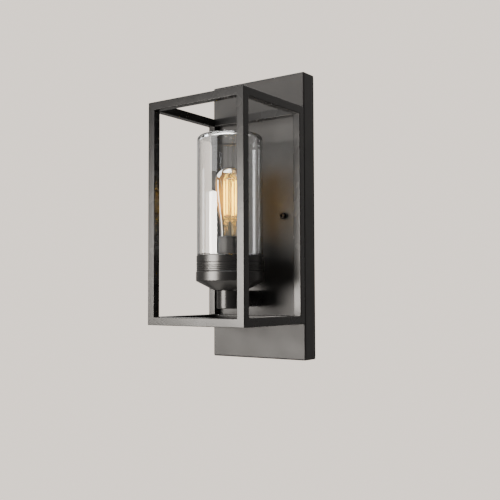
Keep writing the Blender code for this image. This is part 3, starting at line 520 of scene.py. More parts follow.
def make_materials():
    coat = (0.008, 0.008, 0.0083)
    coat_light = (0.011, 0.0108, 0.0108)
    around = (1, 1, 0.08)
    foam = Surface("foam_rubber", (0.013, 0.013, 0.013), 0.85)
    foam.tint(foam.noise(4), (0.022, 0.022, 0.021))
    foam.roughness(foam.noise(1), 0.78, 0.95)
    foam.bump(foam.cells(0.7), 0.05, 0.7)
    glow = Surface(
        "filament_phosphor", (0.95, 0.62, 0.18), 0.55, Emission_Color=(1.0, 0.72, 0.05, 1.0),
        Emission_Strength=9.0,
    )
    glow.tint(glow.noise(1.2), (1.0, 0.72, 0.30))
    glow.roughness(glow.noise(0.6), 0.45, 0.65)
    glow.bump(glow.noise(0.5), 0.02)
    solder = Surface("solder", (0.62, 0.62, 0.60), 0.3, 1.0)
    solder.tint(solder.noise(1.5), (0.45, 0.45, 0.44))
    solder.roughness(solder.noise(0.8), 0.22, 0.5)
    solder.bump(solder.noise(1.5), 0.12)
    bulb_glass = clear_glass("bulb_glass", (1.0, 0.87, 0.62), 14, 0.01, 1.0, 0.9)
    # Painted light: the bulb glass gets a painted amber glow round the filaments' height, standing in for the
    # filaments' light inside the bulb.
    strips = sum(heights("filament_strip_1")) / 2
    bulb_glass.glow((1.0, 0.45, 0.01), 0.45, strips, 32).gleam(1.0, 2.8)
    shade_glass = clear_glass("shade_glass", (0.985, 0.99, 0.99), 18, 0.02, 1.0, 0.78)
    shade_glass.gleam(0.7, 1.5)
    return {
        "plate": powder_coat("plate_powder_coat", coat, coat_light, 0.42, 0.25),
        "cage": powder_coat("cage_powder_coat", coat, coat_light, 0.26, 0.22),
        "holder": powder_coat("holder_powder_coat", coat, coat_light, 0.28, 0.34),
        "foam": foam.material,
        "rubber": moulded("seal_rubber", (0.012, 0.012, 0.012), (0.020, 0.020, 0.019), 0.7, 0.02),
        "zinc": plated("zinc_plated_steel", (0.58, 0.58, 0.56), (0.66, 0.64, 0.58), 0.33),
        "zinc_turned": plated("turned_zinc_steel", (0.58, 0.58, 0.55), (0.66, 0.64, 0.58), 0.28, around),
        "black_steel": plated("black_oxide_steel", (0.010, 0.010, 0.011), (0.016, 0.016, 0.017), 0.36),
        "green": plated("green_dyed_steel", (0.02, 0.22, 0.06), (0.04, 0.30, 0.09), 0.35),
        "shade_glass": shade_glass.material,
        "bulb_glass": bulb_glass.material,
        "mount_glass": clear_glass("mount_glass", (0.97, 0.97, 0.95), 6, 0.02).material,
        "phenolic": moulded("black_phenolic", (0.008, 0.008, 0.008), (0.012, 0.011, 0.010), 0.34),
        "brass": plated("brass", (0.75, 0.53, 0.22), (0.66, 0.44, 0.18), 0.25, around),
        "nickel": plated("nickel_plate", (0.66, 0.63, 0.57), (0.58, 0.55, 0.49), 0.22, around),
        "vitrite": moulded("black_glass_insulator", (0.010, 0.009, 0.012), (0.018, 0.016, 0.02), 0.12),
        "glow": glow.material,
        "solder": solder.material,
        "holder_wire": plated("filament_holder", (0.50, 0.48, 0.44), (0.40, 0.38, 0.35), 0.35),
        "black_wire": moulded("black_insulation", (0.018, 0.018, 0.018), (0.028, 0.028, 0.028), 0.42),
        "white_wire": moulded("white_insulation", (0.74, 0.73, 0.70), (0.80, 0.79, 0.76), 0.42),
        "green_wire": moulded("green_insulation", (0.02, 0.17, 0.045), (0.03, 0.22, 0.06), 0.42),
        "yellow": moulded("yellow_connector", (0.72, 0.46, 0.03), (0.80, 0.54, 0.06), 0.40),
    }


# ---- backplate and wall fixing


def make_pan(look):
    """The sheet-metal pan, with rounded folds, a wall of one sheet, and its drilled holes."""
    node = "backplate_pan"
    bm = bmesh.new()
    bmesh.ops.create_cube(bm, size=1)
    bmesh.ops.scale(bm, vec=size(node), verts=bm.verts)
    place_mesh(bm, middle(node))
    back = [face for face in bm.faces if face.normal.y > 0.5]
    bmesh.ops.delete(bm, geom=back, context="FACES_ONLY")
    bevel(bm, [edge for edge in bm.edges if len(edge.link_faces) == 2], PAN_CORNER, 7)
    pan = finish_mesh(detailed(node), bm, look["plate"], 35)
    sheet = pan.modifiers.new("sheet", "SOLIDIFY")
    sheet.thickness = PAN_SHEET * MM
    sheet.offset = -1
    sheet.use_even_offset = True
    apply_modifiers(pan)
    for side in SIDES:
        drill(pan, node, f"mounting_screw_{side}", 3.2)
    for place in CAGE_SCREWS:
        drill(pan, node, f"cage_screw_{place}", 2.2, 32)
    drill(pan, node, "arm_nipple", 5.4)
    settle(even_shading(pan), "plate_coat", node)


def make_wall_gasket(look):
    node = "wall_gasket"
    width, _, height = size(node)
    rim = 8
    gasket = slab(
        detailed(node), rounded_rectangle(width, height, 3), *depths(node), look["foam"], edge=0.35
    )
    inside = rounded_rectangle(width - 2 * rim, height - 2 * rim, 1.5)
    carve(gasket, slab("opening", inside, -rim, rim, None), sharp_deg=40)
    settle(even_shading(gasket), "seal_rubber", node)


def make_crossbar(look):
    """The steel strap: slotted for the wall box, tapped at both ends and for the ground screw."""
    node = "crossbar"
    width, _, height = size(node)
    bar = slab(detailed(node), rounded_rectangle(width, height, 4), *depths(node), look["zinc"], edge=0.3)
    for x in (-33, 33):
        slot = rounded_rectangle(12, 5, 2.45)
        carve(bar, slab("slot", slot, starts(node) - 3, ends(node) + 3, None, (x, 0, 0)))
    for side in SIDES:
        drill(bar, node, f"mounting_screw_{side}", 2.8)
    drill(bar, node, "ground_screw", 2.2)
    settle(even_shading(bar), "zinc_steel", node)


def make_mounting_screws(look):
    """Socket-head screws with a knurled head and a rolled thread, each with its sealing washer."""
    for side in SIDES:
        node = f"mounting_screw_{side}"
        washer = f"sealing_washer_{side}"
        place = axis_of(node)
        tip, face = depths(node)
        seat = ends(washer) + GAP
        head = radius(node)
        crown = 0.6
        knurl = ribs(48, 0.14)
        outline = [(0, tip), (SCREW_SHANK - 0.7, tip)]
        outline += thread(SCREW_SHANK, tip + 0.5, seat - 1.2, SCREW_PITCH, 0.42)
        outline += [
            (SCREW_SHANK, seat), (head - 0.2, seat), (head, seat + 0.3, knurl),
            (head, face - 1.5 * crown, knurl), (head, face - crown),
        ]
        outline += arc(head - crown, face - crown, crown, 15, 90, 4) + [(0, face)]
        screw = lathe(detailed(node), outline, look["black_steel"], place, 192, True, 40)
        across = HEX_KEY / math.sqrt(3)
        key = [(0, face - 3.3), (across, face - 2.6), (across, face + 1), (0, face + 1)]
        carve(screw, lathe("hex_key", key, None, place, 6, True), sharp_deg=40)
        settle(even_shading(screw), "screw_black", node)
        ring = band(SCREW_SHANK + GAP, radius(washer), *depths(washer), 0.4)
        turn(washer, ring, look["rubber"], "seal_rubber", place, 64, True)


def make_ground_screw(look):
    """A green hex-washer screw with a slot."""
    node = "ground_screw"
    place = axis_of(node)
    tip, face = depths(node)
    seat = face - 2.4
    flange = 4
    head = 3.1
    outline = [(0, tip), (GROUND_SCREW_SHANK - 0.5, tip)]
    outline += thread(GROUND_SCREW_SHANK, tip + 0.3, seat - 0.1, 0.7, 0.3)
    outline += rounded(
        [(GROUND_SCREW_SHANK, seat), (flange, seat, 0.2), (flange, seat + 0.6, 0.2),
         (head, seat + 0.75, 0.2), (0, seat + 0.75)]
    )
    screw = lathe(detailed(node), outline, look["green"], place, 64, True, 40)
    hexagon = [(0, seat + 0.4), (head, seat + 0.4), (head, face - 0.25), (head - 0.4, face), (0, face)]
    carve(screw, lathe("hexagon", hexagon, None, place, 6, True), "UNION", 40)
    slot = rectangle(2 * flange, 0.9)
    carve(screw, slab("slot", slot, face - 0.9, face + 1, None, place), sharp_deg=40)
    settle(even_shading(screw), "ground_green", node)


# ---- cage


def cage_lattice():
    """The whole welded cage as one closed mesh: the filled cells along the edges of a box of 3 x 3 x 3."""
    first = low("cage_front_post_left")
    last = high("cage_back_post_right")
    first.z = low("cage_front_rail_bottom").z
    last.z = high("cage_front_rail_top").z
    bar = size("cage_front_post_left").x
    lines = [(start, start + bar, end - bar, end) for start, end in zip(first, last)]
    filled = {cell for cell in product(range(3), repeat=3) if cell.count(1) <= 1}
    bm = bmesh.new()
    verts = {}

    def vert(corner):
        if corner not in verts:
            verts[corner] = bm.verts.new([line[i] for line, i in zip(lines, corner)])
        return verts[corner]

    for cell in sorted(filled):
        for axis, step in product(range(3), (-1, 1)):
            beside = list(cell)
            beside[axis] += step
            if tuple(beside) in filled:
                continue
            face = []
            for a, b in ((0, 0), (1, 0), (1, 1), (0, 1)):
                corner = list(cell)
                corner[axis] += step > 0
                corner[(axis + 1) % 3] += a
                corner[(axis + 2) % 3] += b
                face.append(vert(tuple(corner)))
            bm.faces.new(face)
    place_mesh(bm)
    bmesh.ops.recalc_face_normals(bm, faces=bm.faces)
    bmesh.ops.dissolve_limit(bm, angle_limit=0.01, verts=bm.verts, edges=bm.edges)
    bevel(bm, [edge for edge in bm.edges if edge.is_convex and edge.calc_face_angle(0) > 1], CAGE_EDGE, 4)
    return bm, lines


def keep_side(bm, point, normal):
    """Cut the closed mesh with a plane, keep what the normal points at, and close the cut."""
    bmesh.ops.bisect_plane(
        bm, geom=bm.verts[:] + bm.edges[:] + bm.faces[:], dist=TINY * MM, plane_co=Vector(point) * MM,
        plane_no=normal, clear_inner=True,
    )
    bmesh.ops.edgeloop_fill(bm, edges=[edge for edge in bm.edges if edge.is_boundary])


def make_cage(look):
    """The welded cage, parted at its mitres into the twelve tubes that it is made of."""
    whole, (xs, ys, zs) = cage_lattice()
    weld = 0.2
    near_room = ((0, ys[1] + weld, 0), (0, -1, 0))
    near_wall = ((0, ys[2] - weld, 0), (0, 1, 0))
    between = [(point, (0, -y, 0)) for point, (_, y, _) in (near_room, near_wall)]
    bars = {}
    for where, level in (("front", near_room), ("back", near_wall)):
        for side, x, sign in (("left", xs[0], 1), ("right", xs[3], -1)):
            bars[f"cage_{where}_post_{side}"] = [
                level, ((x, 0, zs[3]), (-sign, 0, -1)), ((x, 0, zs[0]), (-sign, 0, 1)),
                (ORIGIN, (-sign, 0, 0)),
            ]
        for side, z, sign in (("bottom", zs[0], 1), ("top", zs[3], -1)):
            bars[f"cage_{where}_rail_{side}"] = [
                level, ((xs[0], 0, z), (1, 0, -sign)), ((xs[3], 0, z), (-1, 0, -sign)),
                (ORIGIN, (0, 0, -sign)),
            ]
    for (vertical, up), (side, x) in product((("top", 1), ("bottom", -1)), (("left", -1), ("right", 1))):
        bars[f"cage_side_rail_{vertical}_{side}"] = [*between, (ORIGIN, (x, 0, 0)), (ORIGIN, (0, 0, up))]
    for node, planes in bars.items():
        bm = whole.copy()
        for point, normal in planes:
            keep_side(bm, point, normal)
        settle(even_shading(finish_mesh(detailed(node), bm, look["cage"], 35)), "cage_coat", node)
    whole.free()


def cross_prism(place, wide, thin, bottom, top, taper):
    """A Phillips driver's tip, as a cross that narrows towards the bottom."""
    w = wide / 2
    t = thin / 2
    quarter = [(t, t), (t, w), (-t, w)]
    cross = []
    for _ in range(4):
        cross += quarter
        quarter = [(-z, x) for x, z in quarter]
    bm = bmesh.new()
    upper = [bm.verts.new((x, -top, z)) for x, z in cross]
    lower = [bm.verts.new((x * taper, -bottom, z * taper)) for x, z in cross]
    bm.faces.new(upper)
    bm.faces.new(lower)
    for i in range(len(cross)):
        j = (i + 1) % len(cross)
        bm.faces.new((upper[i], upper[j], lower[j], lower[i]))
    place_mesh(bm, place)
    return finish_mesh("cross", bm, None, 30)


def make_cage_screws(look):
    """Pan-head screws that are driven from inside the pan, so that their heads face the wall."""
    for where in CAGE_SCREWS:
        node = f"cage_screw_{where}"
        place = axis_of(node)
        crown, tip = depths(node)
        seat = ends("backplate_pan") - PAN_SHEET - GAP
        head = radius(node)
        outline = rounded(
            [(0, crown), (head * 0.62, crown, 1.2), (head, crown + 1.1, 1.0), (head, seat, 0.15),
             (CAGE_SCREW_SHANK, seat)]
        )
        outline += thread(CAGE_SCREW_SHANK, seat + 0.2, tip - 0.7, 0.7, 0.32)
        outline += [(CAGE_SCREW_SHANK - 0.6, tip), (0, tip)]
        screw = lathe(detailed(node), outline, look["zinc_turned"], place, 64, True, 40)
        carve(screw, cross_prism(place, 3.8, 0.9, crown + 1.5, crown - 0.5, 0.4), sharp_deg=40)
        settle(even_shading(screw), "zinc_steel", node)


# ---- arm and stem


def make_nut(look, node, out):
    """A hexagonal nut with chamfered corners."""
    place, first, last = span(node, out)
    corner = NUT_ACROSS_FLATS / math.sqrt(3)
    edge = 0.6
    mouth = NIPPLE_HOLE + 1.5
    nut = lathe(detailed(node), block(corner, first, last), look["zinc"], place, 6, out)
    turned = [(0, first), (corner - 1.3, first), (corner + 0.2, first + edge), (corner + 0.2, last - edge),
              (corner - 1.3, last), (0, last)]
    carve(nut, lathe("turned", turned, None, place, 96, out), "INTERSECT")
    hole = [(0, first - 1), (mouth, first - 1), (NIPPLE_HOLE, first + edge), (NIPPLE_HOLE, last - edge),
            (mouth, last + 1), (0, last + 1)]
    carve(nut, lathe("hole", hole, None, place, 96, out), sharp_deg=25)
    settle(even_shading(nut), "zinc_steel", node)


def make_lock_washer(look, node, out):
    """A lock washer with teeth round its hole."""
    place, first, last = span(node, out)
    outer = radius(node)
    inner = 6.9
    teeth = ribs(12, 1.5)
    edge = 0.15
    outline = [(inner, first, teeth)]
    outline += rounded([(inner, first), (outer, first, edge), (outer, last, edge), (inner, last)])[1:-1]
    outline += [(inner, last, teeth)]
    turn(node, outline, look["zinc"], "zinc_steel", place, 144, out)


def make_nipple(look, node, out):
    """All-thread tube."""
    place, first, last = span(node, out)
    outer = radius(node)
    lead = 0.5
    outline = [(NIPPLE_BORE, first), (outer - lead, first)]
    outline += thread(outer, first + lead, last - lead, NIPPLE_PITCH, 0.45)
    outline += [(outer - lead, last), (NIPPLE_BORE, last)]
    turn(node, outline, look["zinc_turned"], "zinc_steel", place, 64, out, 40)


def make_coupling(look, name, out):
    """The nipple that joins two pieces, with its lock washer and nut."""
    make_nipple(look, f"{name}_nipple", out)
    make_lock_washer(look, f"{name}_lock_washer", out)
    make_nut(look, f"{name}_hex_nut", out)


def make_arm(look):
    """The tube from the backplate, with its end saddled onto the stem."""
    node = "arm_tube"
    outer = radius(node)
    first = starts(node)
    shoulder = first + 7.5
    last = -LAMP.y - 6
    outline = rounded(
        [(NIPPLE_HOLE, first, 0.3), (outer, first, 0.6), (outer, last), (ARM_BORE, last),
         (ARM_BORE, shoulder, 0.5), (NIPPLE_HOLE, shoulder, 0.3)], True
    )
    arm = lathe(detailed(node), outline, look["cage"], axis_of(node), out=True)
    saddle = block(radius("stem_housing") + 0.02, low(node).z - 9, high(node).z + 9)
    carve(arm, lathe("saddle", saddle, None, sides=128))
    settle(even_shading(arm), "holder_coat", node)
    make_coupling(look, "arm", True)


def make_stem(look):
    node = "stem_housing"
    outer = radius(node)
    first, last = heights(node)
    web = last - 4
    inner = 13.8
    floor = first + 3
    outline = rounded(
        [(0, first), (outer, first, 1.0), (outer, last, 0.5), (NIPPLE_HOLE, last, 0.3),
         (NIPPLE_HOLE, web, 0.3), (inner, web, 0.8), (inner, floor, 1.5), (0, floor)]
    )
    stem = lathe(detailed(node), outline, look["cage"], sides=128)
    port = block(ARM_BORE, -LAMP.y - 1.5 * outer, -LAMP.y - 8)
    carve(stem, lathe("port", port, None, axis_of("arm_tube"), 64, True))
    settle(even_shading(stem), "holder_coat", node)
    make_coupling(look, "cup", False)


# ---- cup, collar, glass and its gasket


def make_cup(look):
    """The turned cup: a cone, a plain band, a ledge, and the threaded spigot for the collar."""
    node = "lamp_cup"
    outer = radius(node)
    bottom, top = heights(node)
    shoulder = bottom + 11.7
    ledge = top - 5.2
    base = 21.5
    spigot = 40
    bore = 36
    floor = bottom + 3.2
    outline = rounded(
        [(NIPPLE_HOLE, bottom), (base, bottom, 0.8), (outer, shoulder, 1.0), (outer, ledge - 0.8, 0.3),
         (outer - 0.8, ledge, 0.3), (spigot, ledge)]
    )
    outline += thread(spigot, ledge + 0.4, top - 0.5, COLLAR_PITCH, 0.5)
    outline += rounded(
        [(spigot, top), (spigot - 0.4, top), (bore, top, 0.3), (bore, shoulder, 2), (base - 2, floor, 2),
         (NIPPLE_HOLE, floor)]
    )[1:]
    even_shading(turn(node, outline, look["holder"], "holder_coat", sides=160))


def groove(reach, height, width, depth):
    """A small groove in an outline that runs upwards, with rounded lips."""
    half = width / 2
    floor = half * 0.4
    lip = 0.12
    lower = [(reach, -half - 2 * lip), (reach, -half, lip), (reach - depth, -floor, lip)]
    upper = [(reach - depth, floor, lip), (reach, half, lip), (reach, half + 2 * lip)]
    return [(r, height + rise) for r, rise in rounded(lower + upper, steps=3)]


def make_collar(look):
    """The grooved collar that holds the glass and screws onto the cup."""
    node = "shade_collar"
    outer = radius(node)
    bottom, top = heights(node)
    bore = 40.3
    outline = rounded([(bore, bottom, 0.3), (outer, bottom, 0.5), (outer, bottom + 1.5)], True)[:-1]
    for rise, width, depth in ((2.3, 0.8, 0.5), (4.6, 0.8, 0.5), (6.9, 0.8, 0.5), (11.0, 1.0, 0.6)):
        outline += groove(outer, bottom + rise, width, depth)
    outline += rounded([(outer, top - 2), (outer, top, 0.6), (bore, top, 0.3), (bore, bottom + 8)])
    outline += thread(bore, bottom + 5, bottom + 0.5, COLLAR_PITCH, -0.5)
    even_shading(turn(node, outline, look["holder"], "holder_coat", sides=160))


def make_shade(look):
    """Thick clear glass, a straight cylinder with a flat closed top and a neck, and its gasket."""
    node = "glass_shade"
    outer = radius(node)
    foot, top = heights(node)
    rest = high("shade_collar").z + GAP
    wall = 3
    neck = 40
    throat = neck - wall - 0.4
    shoulder = 6
    outline = rounded(
        [(0, top), (outer, top, shoulder), (outer, rest, 0.9), (neck, rest, 0.6), (neck, foot, 0.8),
         (throat, foot, 0.8), (throat, rest - 1.6, 2), (outer - wall, rest + 1.2, 2),
         (outer - wall, top - wall, shoulder - 1.2), (0, top - wall)], steps=8
    )
    turn(node, outline, look["shade_glass"], "shade_glass", sides=160, sharp_deg=60)

    node = "shade_gasket"
    ring = band(36.3, radius(node), *heights(node), 0.8)
    turn(node, ring, look["rubber"], "seal_rubber", sides=128)


# ---- socket


def make_socket(look):
    """Phenolic socket body and cap, brass screw shell and centre contact."""
    node = "socket_body"
    outer = radius(node)
    first, last = heights(node)
    bore = 14.7
    floor = first + 4.3
    lip = last - 2.6
    slim = outer - 0.5
    outline = rounded(
        [(0, first), (outer, first, 0.4), (outer, first + 9, 0.4), (slim, first + 9.6, 0.4), (slim, lip, 0.3),
         (outer, lip + 0.4, 0.4), (outer, last, 0.7), (bore, last, 0.5), (bore, floor), (0, floor)]
    )
    body = lathe(detailed(node), outline, look["phenolic"])
    spot = Matrix.Translation((LAMP + Vector((0, 0, first + 15.5))) * MM)
    for turn_deg in (22, 112, 202, 292):
        tab = slab("tab", rounded_rectangle(3, 8, 0.8, 3), slim - 1, outer, None, edge=0.25)
        tab.data.transform(spot @ Matrix.Rotation(math.radians(turn_deg), 4, "Z"))
        carve(body, tab, "UNION")
    settle(even_shading(body), "socket_black", node)

    node = "socket_cap"
    outer = radius(node)
    first, last = heights(node)
    wall = 1.5
    inside = first + 2 * wall
    outline = rounded(
        [(NIPPLE_HOLE, first), (outer, first, 2), (outer, last, 0.3), (outer - wall, last, 0.3),
         (outer - wall, inside, 1), (NIPPLE_HOLE, inside)], True
    )
    turn(node, outline, look["phenolic"], "socket_black")

    node = "socket_screw_shell"
    outer = radius(node)
    first, last = heights(node)
    wave = 0.28
    hole = 8
    sheet = 0.3
    outline = [(hole, first), (outer - 2 * wave, first)]
    outline += thread(outer, first + sheet, last - sheet, LAMP_PITCH, wave)
    outline += [(outer, last), (outer - sheet, last)]
    outline += thread(outer - sheet, last - sheet, first + 2 * sheet, LAMP_PITCH, wave)
    outline += [(hole, first + sheet)]
    turn(node, outline, look["brass"], "contact_brass", sharp_deg=45)

    node = "socket_centre_contact"
    first, last = heights(node)
    outline = rounded(
        [(0, first), (5, first, 0.2), (5, first + 0.6, 0.2), (3, last - 0.3, 0.5), (1.2, last, 0.5),
         (0, last)]
    )
    turn(node, outline, look["brass"], "contact_brass", sides=48)


# ---- bulb


def bulb_profile(reach, widest, height, neck, neck_height):
    """Outer radius of the bulb: it swells smoothly from the neck, and ends in a round dome."""
    if height > widest:
        return math.sqrt(max(reach**2 - (height - widest) ** 2, 0.0))
    t = min(max((height - neck_height) / (widest - neck_height), 0.0), 1.0)
    return neck + (reach - neck) * t * t * (3 - 2 * t)


def make_bulb_envelope(look):
    node = "bulb_envelope"
    reach = radius(node)
    foot, top = heights(node)
    widest = top - reach
    neck_height = high("socket_body").z
    base_top = high("bulb_screw_shell").z
    neck = 12.5
    throat = 12.2
    wall = 0.8
    steps = 26
    levels = [neck_height + (widest - neck_height) * i / steps for i in range(steps)]
    swell = [(bulb_profile(reach, widest, h, neck, neck_height), h) for h in levels]
    outer = [(0, top)] + arc(0, widest, reach, 90, 0, 20)[1:] + swell[::-1]
    outer += rounded(
        [(neck, neck_height), (neck, base_top + 0.6, 0.3), (throat, base_top, 0.3), (throat, foot)]
    )[1:]
    inner = [(throat - wall, foot), (throat - wall, base_top)]
    inner += [(r - wall, h) for r, h in swell]
    inner += arc(0, widest, reach - wall, 0, 90, 20)[:-1] + [(0, top - wall)]
    turn(node, outer + inner, look["bulb_glass"], "bulb_glass", sharp_deg=70)


def make_bulb_base(look):
    """Nickel screw shell with a rolled thread, black glass insulator and solder tip."""
    node = "bulb_screw_shell"
    outer = radius(node)
    first, last = heights(node)
    mouth = 10
    sheet = 0.35
    lip = last - 2.2
    outline = [(mouth, first), (outer - 1.6, first), (outer - 0.8, first + 0.8)]
    outline += thread(outer, first + 1.2, last - 2.6, LAMP_PITCH, 0.55)
    outline += [(outer - 0.3, lip), (outer - 0.3, last - 0.4), (outer - 0.45, last), (outer - 0.5, last),
                (outer - 0.62, lip)]
    outline += thread(outer - 0.64, last - 2.6, first + 1.2, LAMP_PITCH, 0.3)
    outline += [(outer - 1.9, first + 2 * sheet), (mouth, first + sheet)]
    turn(node, outline, look["nickel"], "base_nickel", sharp_deg=50)

    node = "bulb_insulator"
    first, last = heights(node)
    outline = rounded(
        [(0, first), (5.5, first, 0.6), (9, first + 1.6, 1.5), (12, last - 0.4, 0.4), (12, last), (0, last)]
    )
    turn(node, outline, look["vitrite"], "insulator_black", sides=64)

    node = "bulb_tip_contact"
    first, last = heights(node)
    outline = rounded([(0, first), (2.2, first, 1.2), (4.4, last - 0.7, 0.6), (4.6, last, 0.2), (0, last)])
    turn(node, outline, look["solder"], "base_nickel", sides=48)


def make_glass_mount(look):
    """The flared glass foot, its press, and the rod that carries the filaments."""
    node = "bulb_glass_mount"
    first, last = heights(node)
    neck = first + 11.5
    press = first + 23.5
    outline = rounded(
        [(0, first), (10.9, first, 0.3), (9.4, first + 2.5, 2), (4.2, neck, 8), (3.6, press, 2),
         (1.4, press + 4, 2), (1.2, last, 0.4), (0, last)], steps=8
    )
    turn(node, outline, look["mount_glass"], "mount_glass", sides=64, sharp_deg=60)


def make_filaments(look):
    """The four strips, each with its two end pins, and the ring and the cross that hold them."""
    node = "filament_ring"
    ring = band(radius(node) - 2, radius(node), *heights(node), 0.3)
    turn(node, ring, look["holder_wire"], "filament_holder", sides=64)

    cap = 2.2
    for i in range(4):
        node = f"filament_strip_{i + 1}"
        bottom, top = heights(node)
        foot = middle(node) * Vector((1, 1, 0))
        thick = radius(node)
        bulge = thick * 0.4
        strip = [(0, bottom + cap)] + arc(0, bottom + cap + bulge, thick, -60, 0, 4)
        strip += arc(0, top - cap - bulge, thick, 0, 60, 4) + [(0, top - cap)]
        turn(node, strip, look["glow"], "filament_glow", foot, 24, sharp_deg=60)
        for name, start, end in (("lower", bottom, bottom + cap + 0.4), ("upper", top - cap - 0.4, top)):
            pin = lathe(f"{node}_{name}_pin", block(0.35, start, end), look["holder_wire"], foot, 12)
            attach(pin, BODY_OF[node])

    node = "filament_cross"
    first, last = heights(node)
    reach = 9
    half = 0.6
    toward_first = middle("filament_strip_1") - LAMP
    start = math.atan2(toward_first.y, toward_first.x)
    corners = []
    for i in range(4):
        angle = start + math.tau * i / 4
        arm = Vector((math.cos(angle), math.sin(angle), 0))
        side = Vector((-arm.y, arm.x, 0)) * half
        corners += [arm * half - side, arm * reach - side, arm * (reach + 0.3), arm * reach + side]
    bm = bmesh.new()
    extrude(bm, corners, (0, 0, last - first))
    place_mesh(bm, LAMP + Vector((0, 0, first)))
    settle(finish_mesh(detailed(node), bm, look["holder_wire"], 30), "filament_holder", node)


# ---- wiring


def smooth_route(points, steps):
    """Points along a Catmull-Rom curve through the route's own points."""
    route = [Vector(point) for point in points]
    route = [route[0] * 2 - route[1], *route, route[-1] * 2 - route[-2]]
    found = []
    for a, b, c, d in zip(route, route[1:], route[2:], route[3:]):
        square = 2 * a - 5 * b + 4 * c - d
        cube = 3 * b - a - 3 * c + d
        for i in range(steps):
            t = i / steps
            found.append(0.5 * (2 * b + (c - a) * t + square * t**2 + cube * t**3))
    return found + [route[-2]]


def make_wire(look, name, route, colour):
    """A round wire along a smooth curve, as a closed mesh."""
    node = f"{name}_lead"
    curve = bpy.data.curves.new(node, "CURVE")
    curve.dimensions = "3D"
    curve.bevel_depth = WIRE_RADIUS
    curve.bevel_resolution = 4
    curve.use_fill_caps = True
    points = smooth_route(route, 6)
    spline = curve.splines.new("POLY")
    spline.points.add(len(points) - 1)
    for slot, point in zip(spline.points, points):
        slot.co = (*point, 1)
    guide = add_object("guide", curve)
    view = bpy.context.evaluated_depsgraph_get()
    bm = bmesh.new()
    bm.from_mesh(bpy.data.meshes.new_from_object(guide.evaluated_get(view), depsgraph=view))
    bpy.data.objects.remove(guide, do_unlink=True)
    bmesh.ops.remove_doubles(bm, verts=bm.verts, dist=TINY)
    place_mesh(bm)
    settle(finish_mesh(detailed(node), bm, look[f"{colour}_wire"], 40), f"wire_{colour}", node)


def make_connector(look, node):
    """A ribbed twist-on connector."""
    bottom, top = heights(node)
    place = middle(node) * Vector((1, 1, 0))
    outer = radius(node)
    skirt = bottom + 9
    hole = 3.4
    grip = ribs(12, 0.7)
    outline = [(0, bottom + 14), (hole, bottom + 14), (hole, bottom)]
    outline += rounded(
        [(hole, bottom), (outer, bottom, 0.5), (outer, skirt, 0.6), (outer - 0.4, skirt + 0.6)]
    )[1:]
    steps = 6
    for t in [i / steps for i in range(steps + 1)]:
        outline.append((outer - 0.5 - 2.2 * t, skirt + 1.2 + (top - skirt - 3) * t, grip))
    outline += [(outer - 3.2, top - 0.7), (outer - 4, top), (0, top)]
    turn(node, outline, look["yellow"], "connector_yellow", place, sharp_deg=50)


def make_wiring(look):
    """The leads along their routes, and the connectors."""
    y = LAMP.y
    for name, sign, colour in (("live", 1, "black"), ("neutral", -1, "white")):
        side = 1.4 * sign
        make_wire(look, name, [
            (7 * sign, y, -67.5), (6 * sign, y, -71), (side, y, -77.5), (side, y, -84), (side, y, -94),
            (side, y + 0.6, -101), (side, y + 3.5, -106),
            *((side, along, -108.2) for along in (y + 9, -68, -56, -44, -32, -23, -16.2)),
            (2.8 * sign, -12.6, -105), (7 * sign, -13.5, -96), (12 * sign, -13.5, -84),
            (14 * sign, -13.5, -72), (14 * sign, -13.5, -62),
        ], colour)
        make_connector(look, f"{name}_connector")
    make_wire(look, "ground", [
        (0, y - 8, -114), (0, y + 1, -114), (0, y + 12, -112),
        *((0, along, -110.6) for along in (y + 22, -54, -42, -30, -18)),
        (0, -10.5, -109.5), (0, -5.4, -103), (0, -4.4, -92), (-2, -4.2, -76), (-7, -4.2, -50),
        (-13, -4.2, -26), (-16, -4.0, -12), (-16, -3.8, -4.8),
    ], "green")


# ---- studio, in metres


def area_light(name, place, width, height, power, colour=(1, 1, 1)):
    """A lamp that faces the lantern."""
    data = bpy.data.lights.new(name, "AREA")
    data.shape = "RECTANGLE"
    data.size = width
    data.size_y = height
    data.energy = power
    data.color = colour
    light = add_object(name, data)
    light.location = place
    light.rotation_euler = (LAMP * MM - Vector(place)).to_track_quat("-Z", "Y").to_euler()
    light.visible_camera = False
    return light


def window(azimuth_deg, elevation_deg, width, height, brightness, through_glass=False, colour=(1, 1, 1)):
    """A pane two metres from the plate's middle, of a brightness in watts per steradian and square metre.

    Azimuth 0 is straight out of the wall, and grows to the right. The pane lights the lantern from
    outside, or with through_glass shows only in what lies behind the glass.
    """
    azimuth = math.radians(azimuth_deg)
    elevation = math.radians(elevation_deg)
    flat = math.cos(elevation)
    place = 2 * Vector((flat * math.sin(azimuth), -flat * math.cos(azimuth), math.sin(elevation)))
    pane = area_light("window", place, width, height, brightness * math.pi * width * height, colour)
    pane.visible_transmission = through_glass
    pane.visible_glossy = not through_glass
    pane.visible_diffuse = not through_glass


def make_lights():
    """A window in front on the left, its reflections in the glass, and weak light from above and behind."""
    warm = (1.0, 0.94, 0.87)
    window(-22.7, -0.5, 1.02, 0.59, 51, colour=warm)
    window(-45.0, -0.5, 0.50, 0.59, 5, colour=warm)
    window(-21.0, 16.3, 0.92, 0.33, 3.2)
    window(-69.0, 2.0, 0.50, 0.75, 6.5, True)
    window(-80.0, 36.0, 1.9, 0.8, 6, True, (0.90, 0.93, 1.0))
    area_light("ceiling", (-0.3, -0.5, 2.2), 1.6, 1.6, 75)
    area_light("behind", (-1.3, 1.9, 0.9), 1.2, 1.2, 6).visible_transmission = False


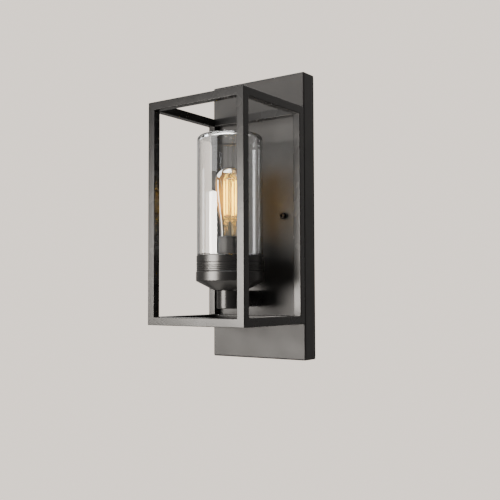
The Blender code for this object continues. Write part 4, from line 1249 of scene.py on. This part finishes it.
def make_surroundings():
    """Pale surroundings where they are seen directly, and darker ones, by direction, as a light."""
    world = bpy.data.worlds.new("surroundings")
    bpy.context.scene.world = world
    world.use_nodes = True
    tree = world.node_tree
    sight = add_node(tree, "TexCoord").outputs["Generated"]
    rise = compute(tree, "VectorMath", "DOT_PRODUCT", sight, (0, 1, 1.2))
    lit = set_sockets(
        tree, tree.nodes["Background"], Color=(1.0, 0.96, 0.92, 1),
        Strength=ranged(tree, rise, 0.1, 1.3, 0.22, 0.66, "SMOOTHSTEP"),
    )
    pale = add_node(tree, "Background", Color=(1.0, 0.90, 0.80, 1), Strength=1.45)
    path = add_node(tree, "LightPath").outputs
    bounces = compute(tree, "Math", "ADD", path["Diffuse Depth"], path["Glossy Depth"])
    seen = compute(tree, "Math", "LESS_THAN", bounces, 0.5)
    choose(tree, seen, lit.outputs["Background"], pale.outputs["Background"], "World Output")


def make_floor():
    """A pale floor under the lantern that dissolves into the surroundings."""
    paint = Surface("pale_floor", (0.70, 0.68, 0.65), 0.7)
    paint.tint(paint.noise(400), (0.66, 0.64, 0.61)).fade_out(1.0, 3.0)
    bm = bmesh.new()
    bmesh.ops.create_circle(bm, cap_ends=True, segments=96, radius=3.0)
    floor = finish_mesh("floor", bm, paint.material, 30)
    floor.location = (0, LAMP.y * MM, -1.5)


def make_camera():
    """A camera at eye height with the lantern, from the front right, looking up by three degrees."""
    yaw, pitch, roll = (math.radians(degrees) for degrees in (35.34, 3.03, -0.17))
    forward = Vector((-math.sin(yaw) * math.cos(pitch), math.cos(yaw) * math.cos(pitch), math.sin(pitch)))
    right = forward.cross(Vector((0, 0, 1))).normalized()
    up = right.cross(forward)
    across = right * math.cos(roll) + up * math.sin(roll)
    upward = up * math.cos(roll) - right * math.sin(roll)
    data = bpy.data.cameras.new("camera")
    data.sensor_width = 36
    data.lens = 55.77
    data.clip_start = 0.05
    data.clip_end = 50
    camera = add_object("camera", data)
    aim = Matrix((across, upward, -forward)).transposed().to_4x4()
    camera.matrix_world = Matrix.Translation((0.59727, -0.88662, -0.09897)) @ aim
    bpy.context.scene.camera = camera


def main():
    make_camera()
    look = make_materials()
    for make in (
        make_pan, make_wall_gasket, make_crossbar, make_mounting_screws, make_ground_screw, make_cage,
        make_cage_screws, make_arm, make_stem, make_cup, make_collar, make_shade, make_socket,
        make_bulb_envelope, make_bulb_base, make_glass_mount, make_filaments, make_wiring,
    ):
        make(look)
    for side in SIDES:
        lead_in = frame["nodes"][f"bulb_lead_in_{side}"].data.materials
        lead_in.clear()
        lead_in.append(look["nickel"])
    make_lights()
    make_surroundings()
    make_floor()


main()
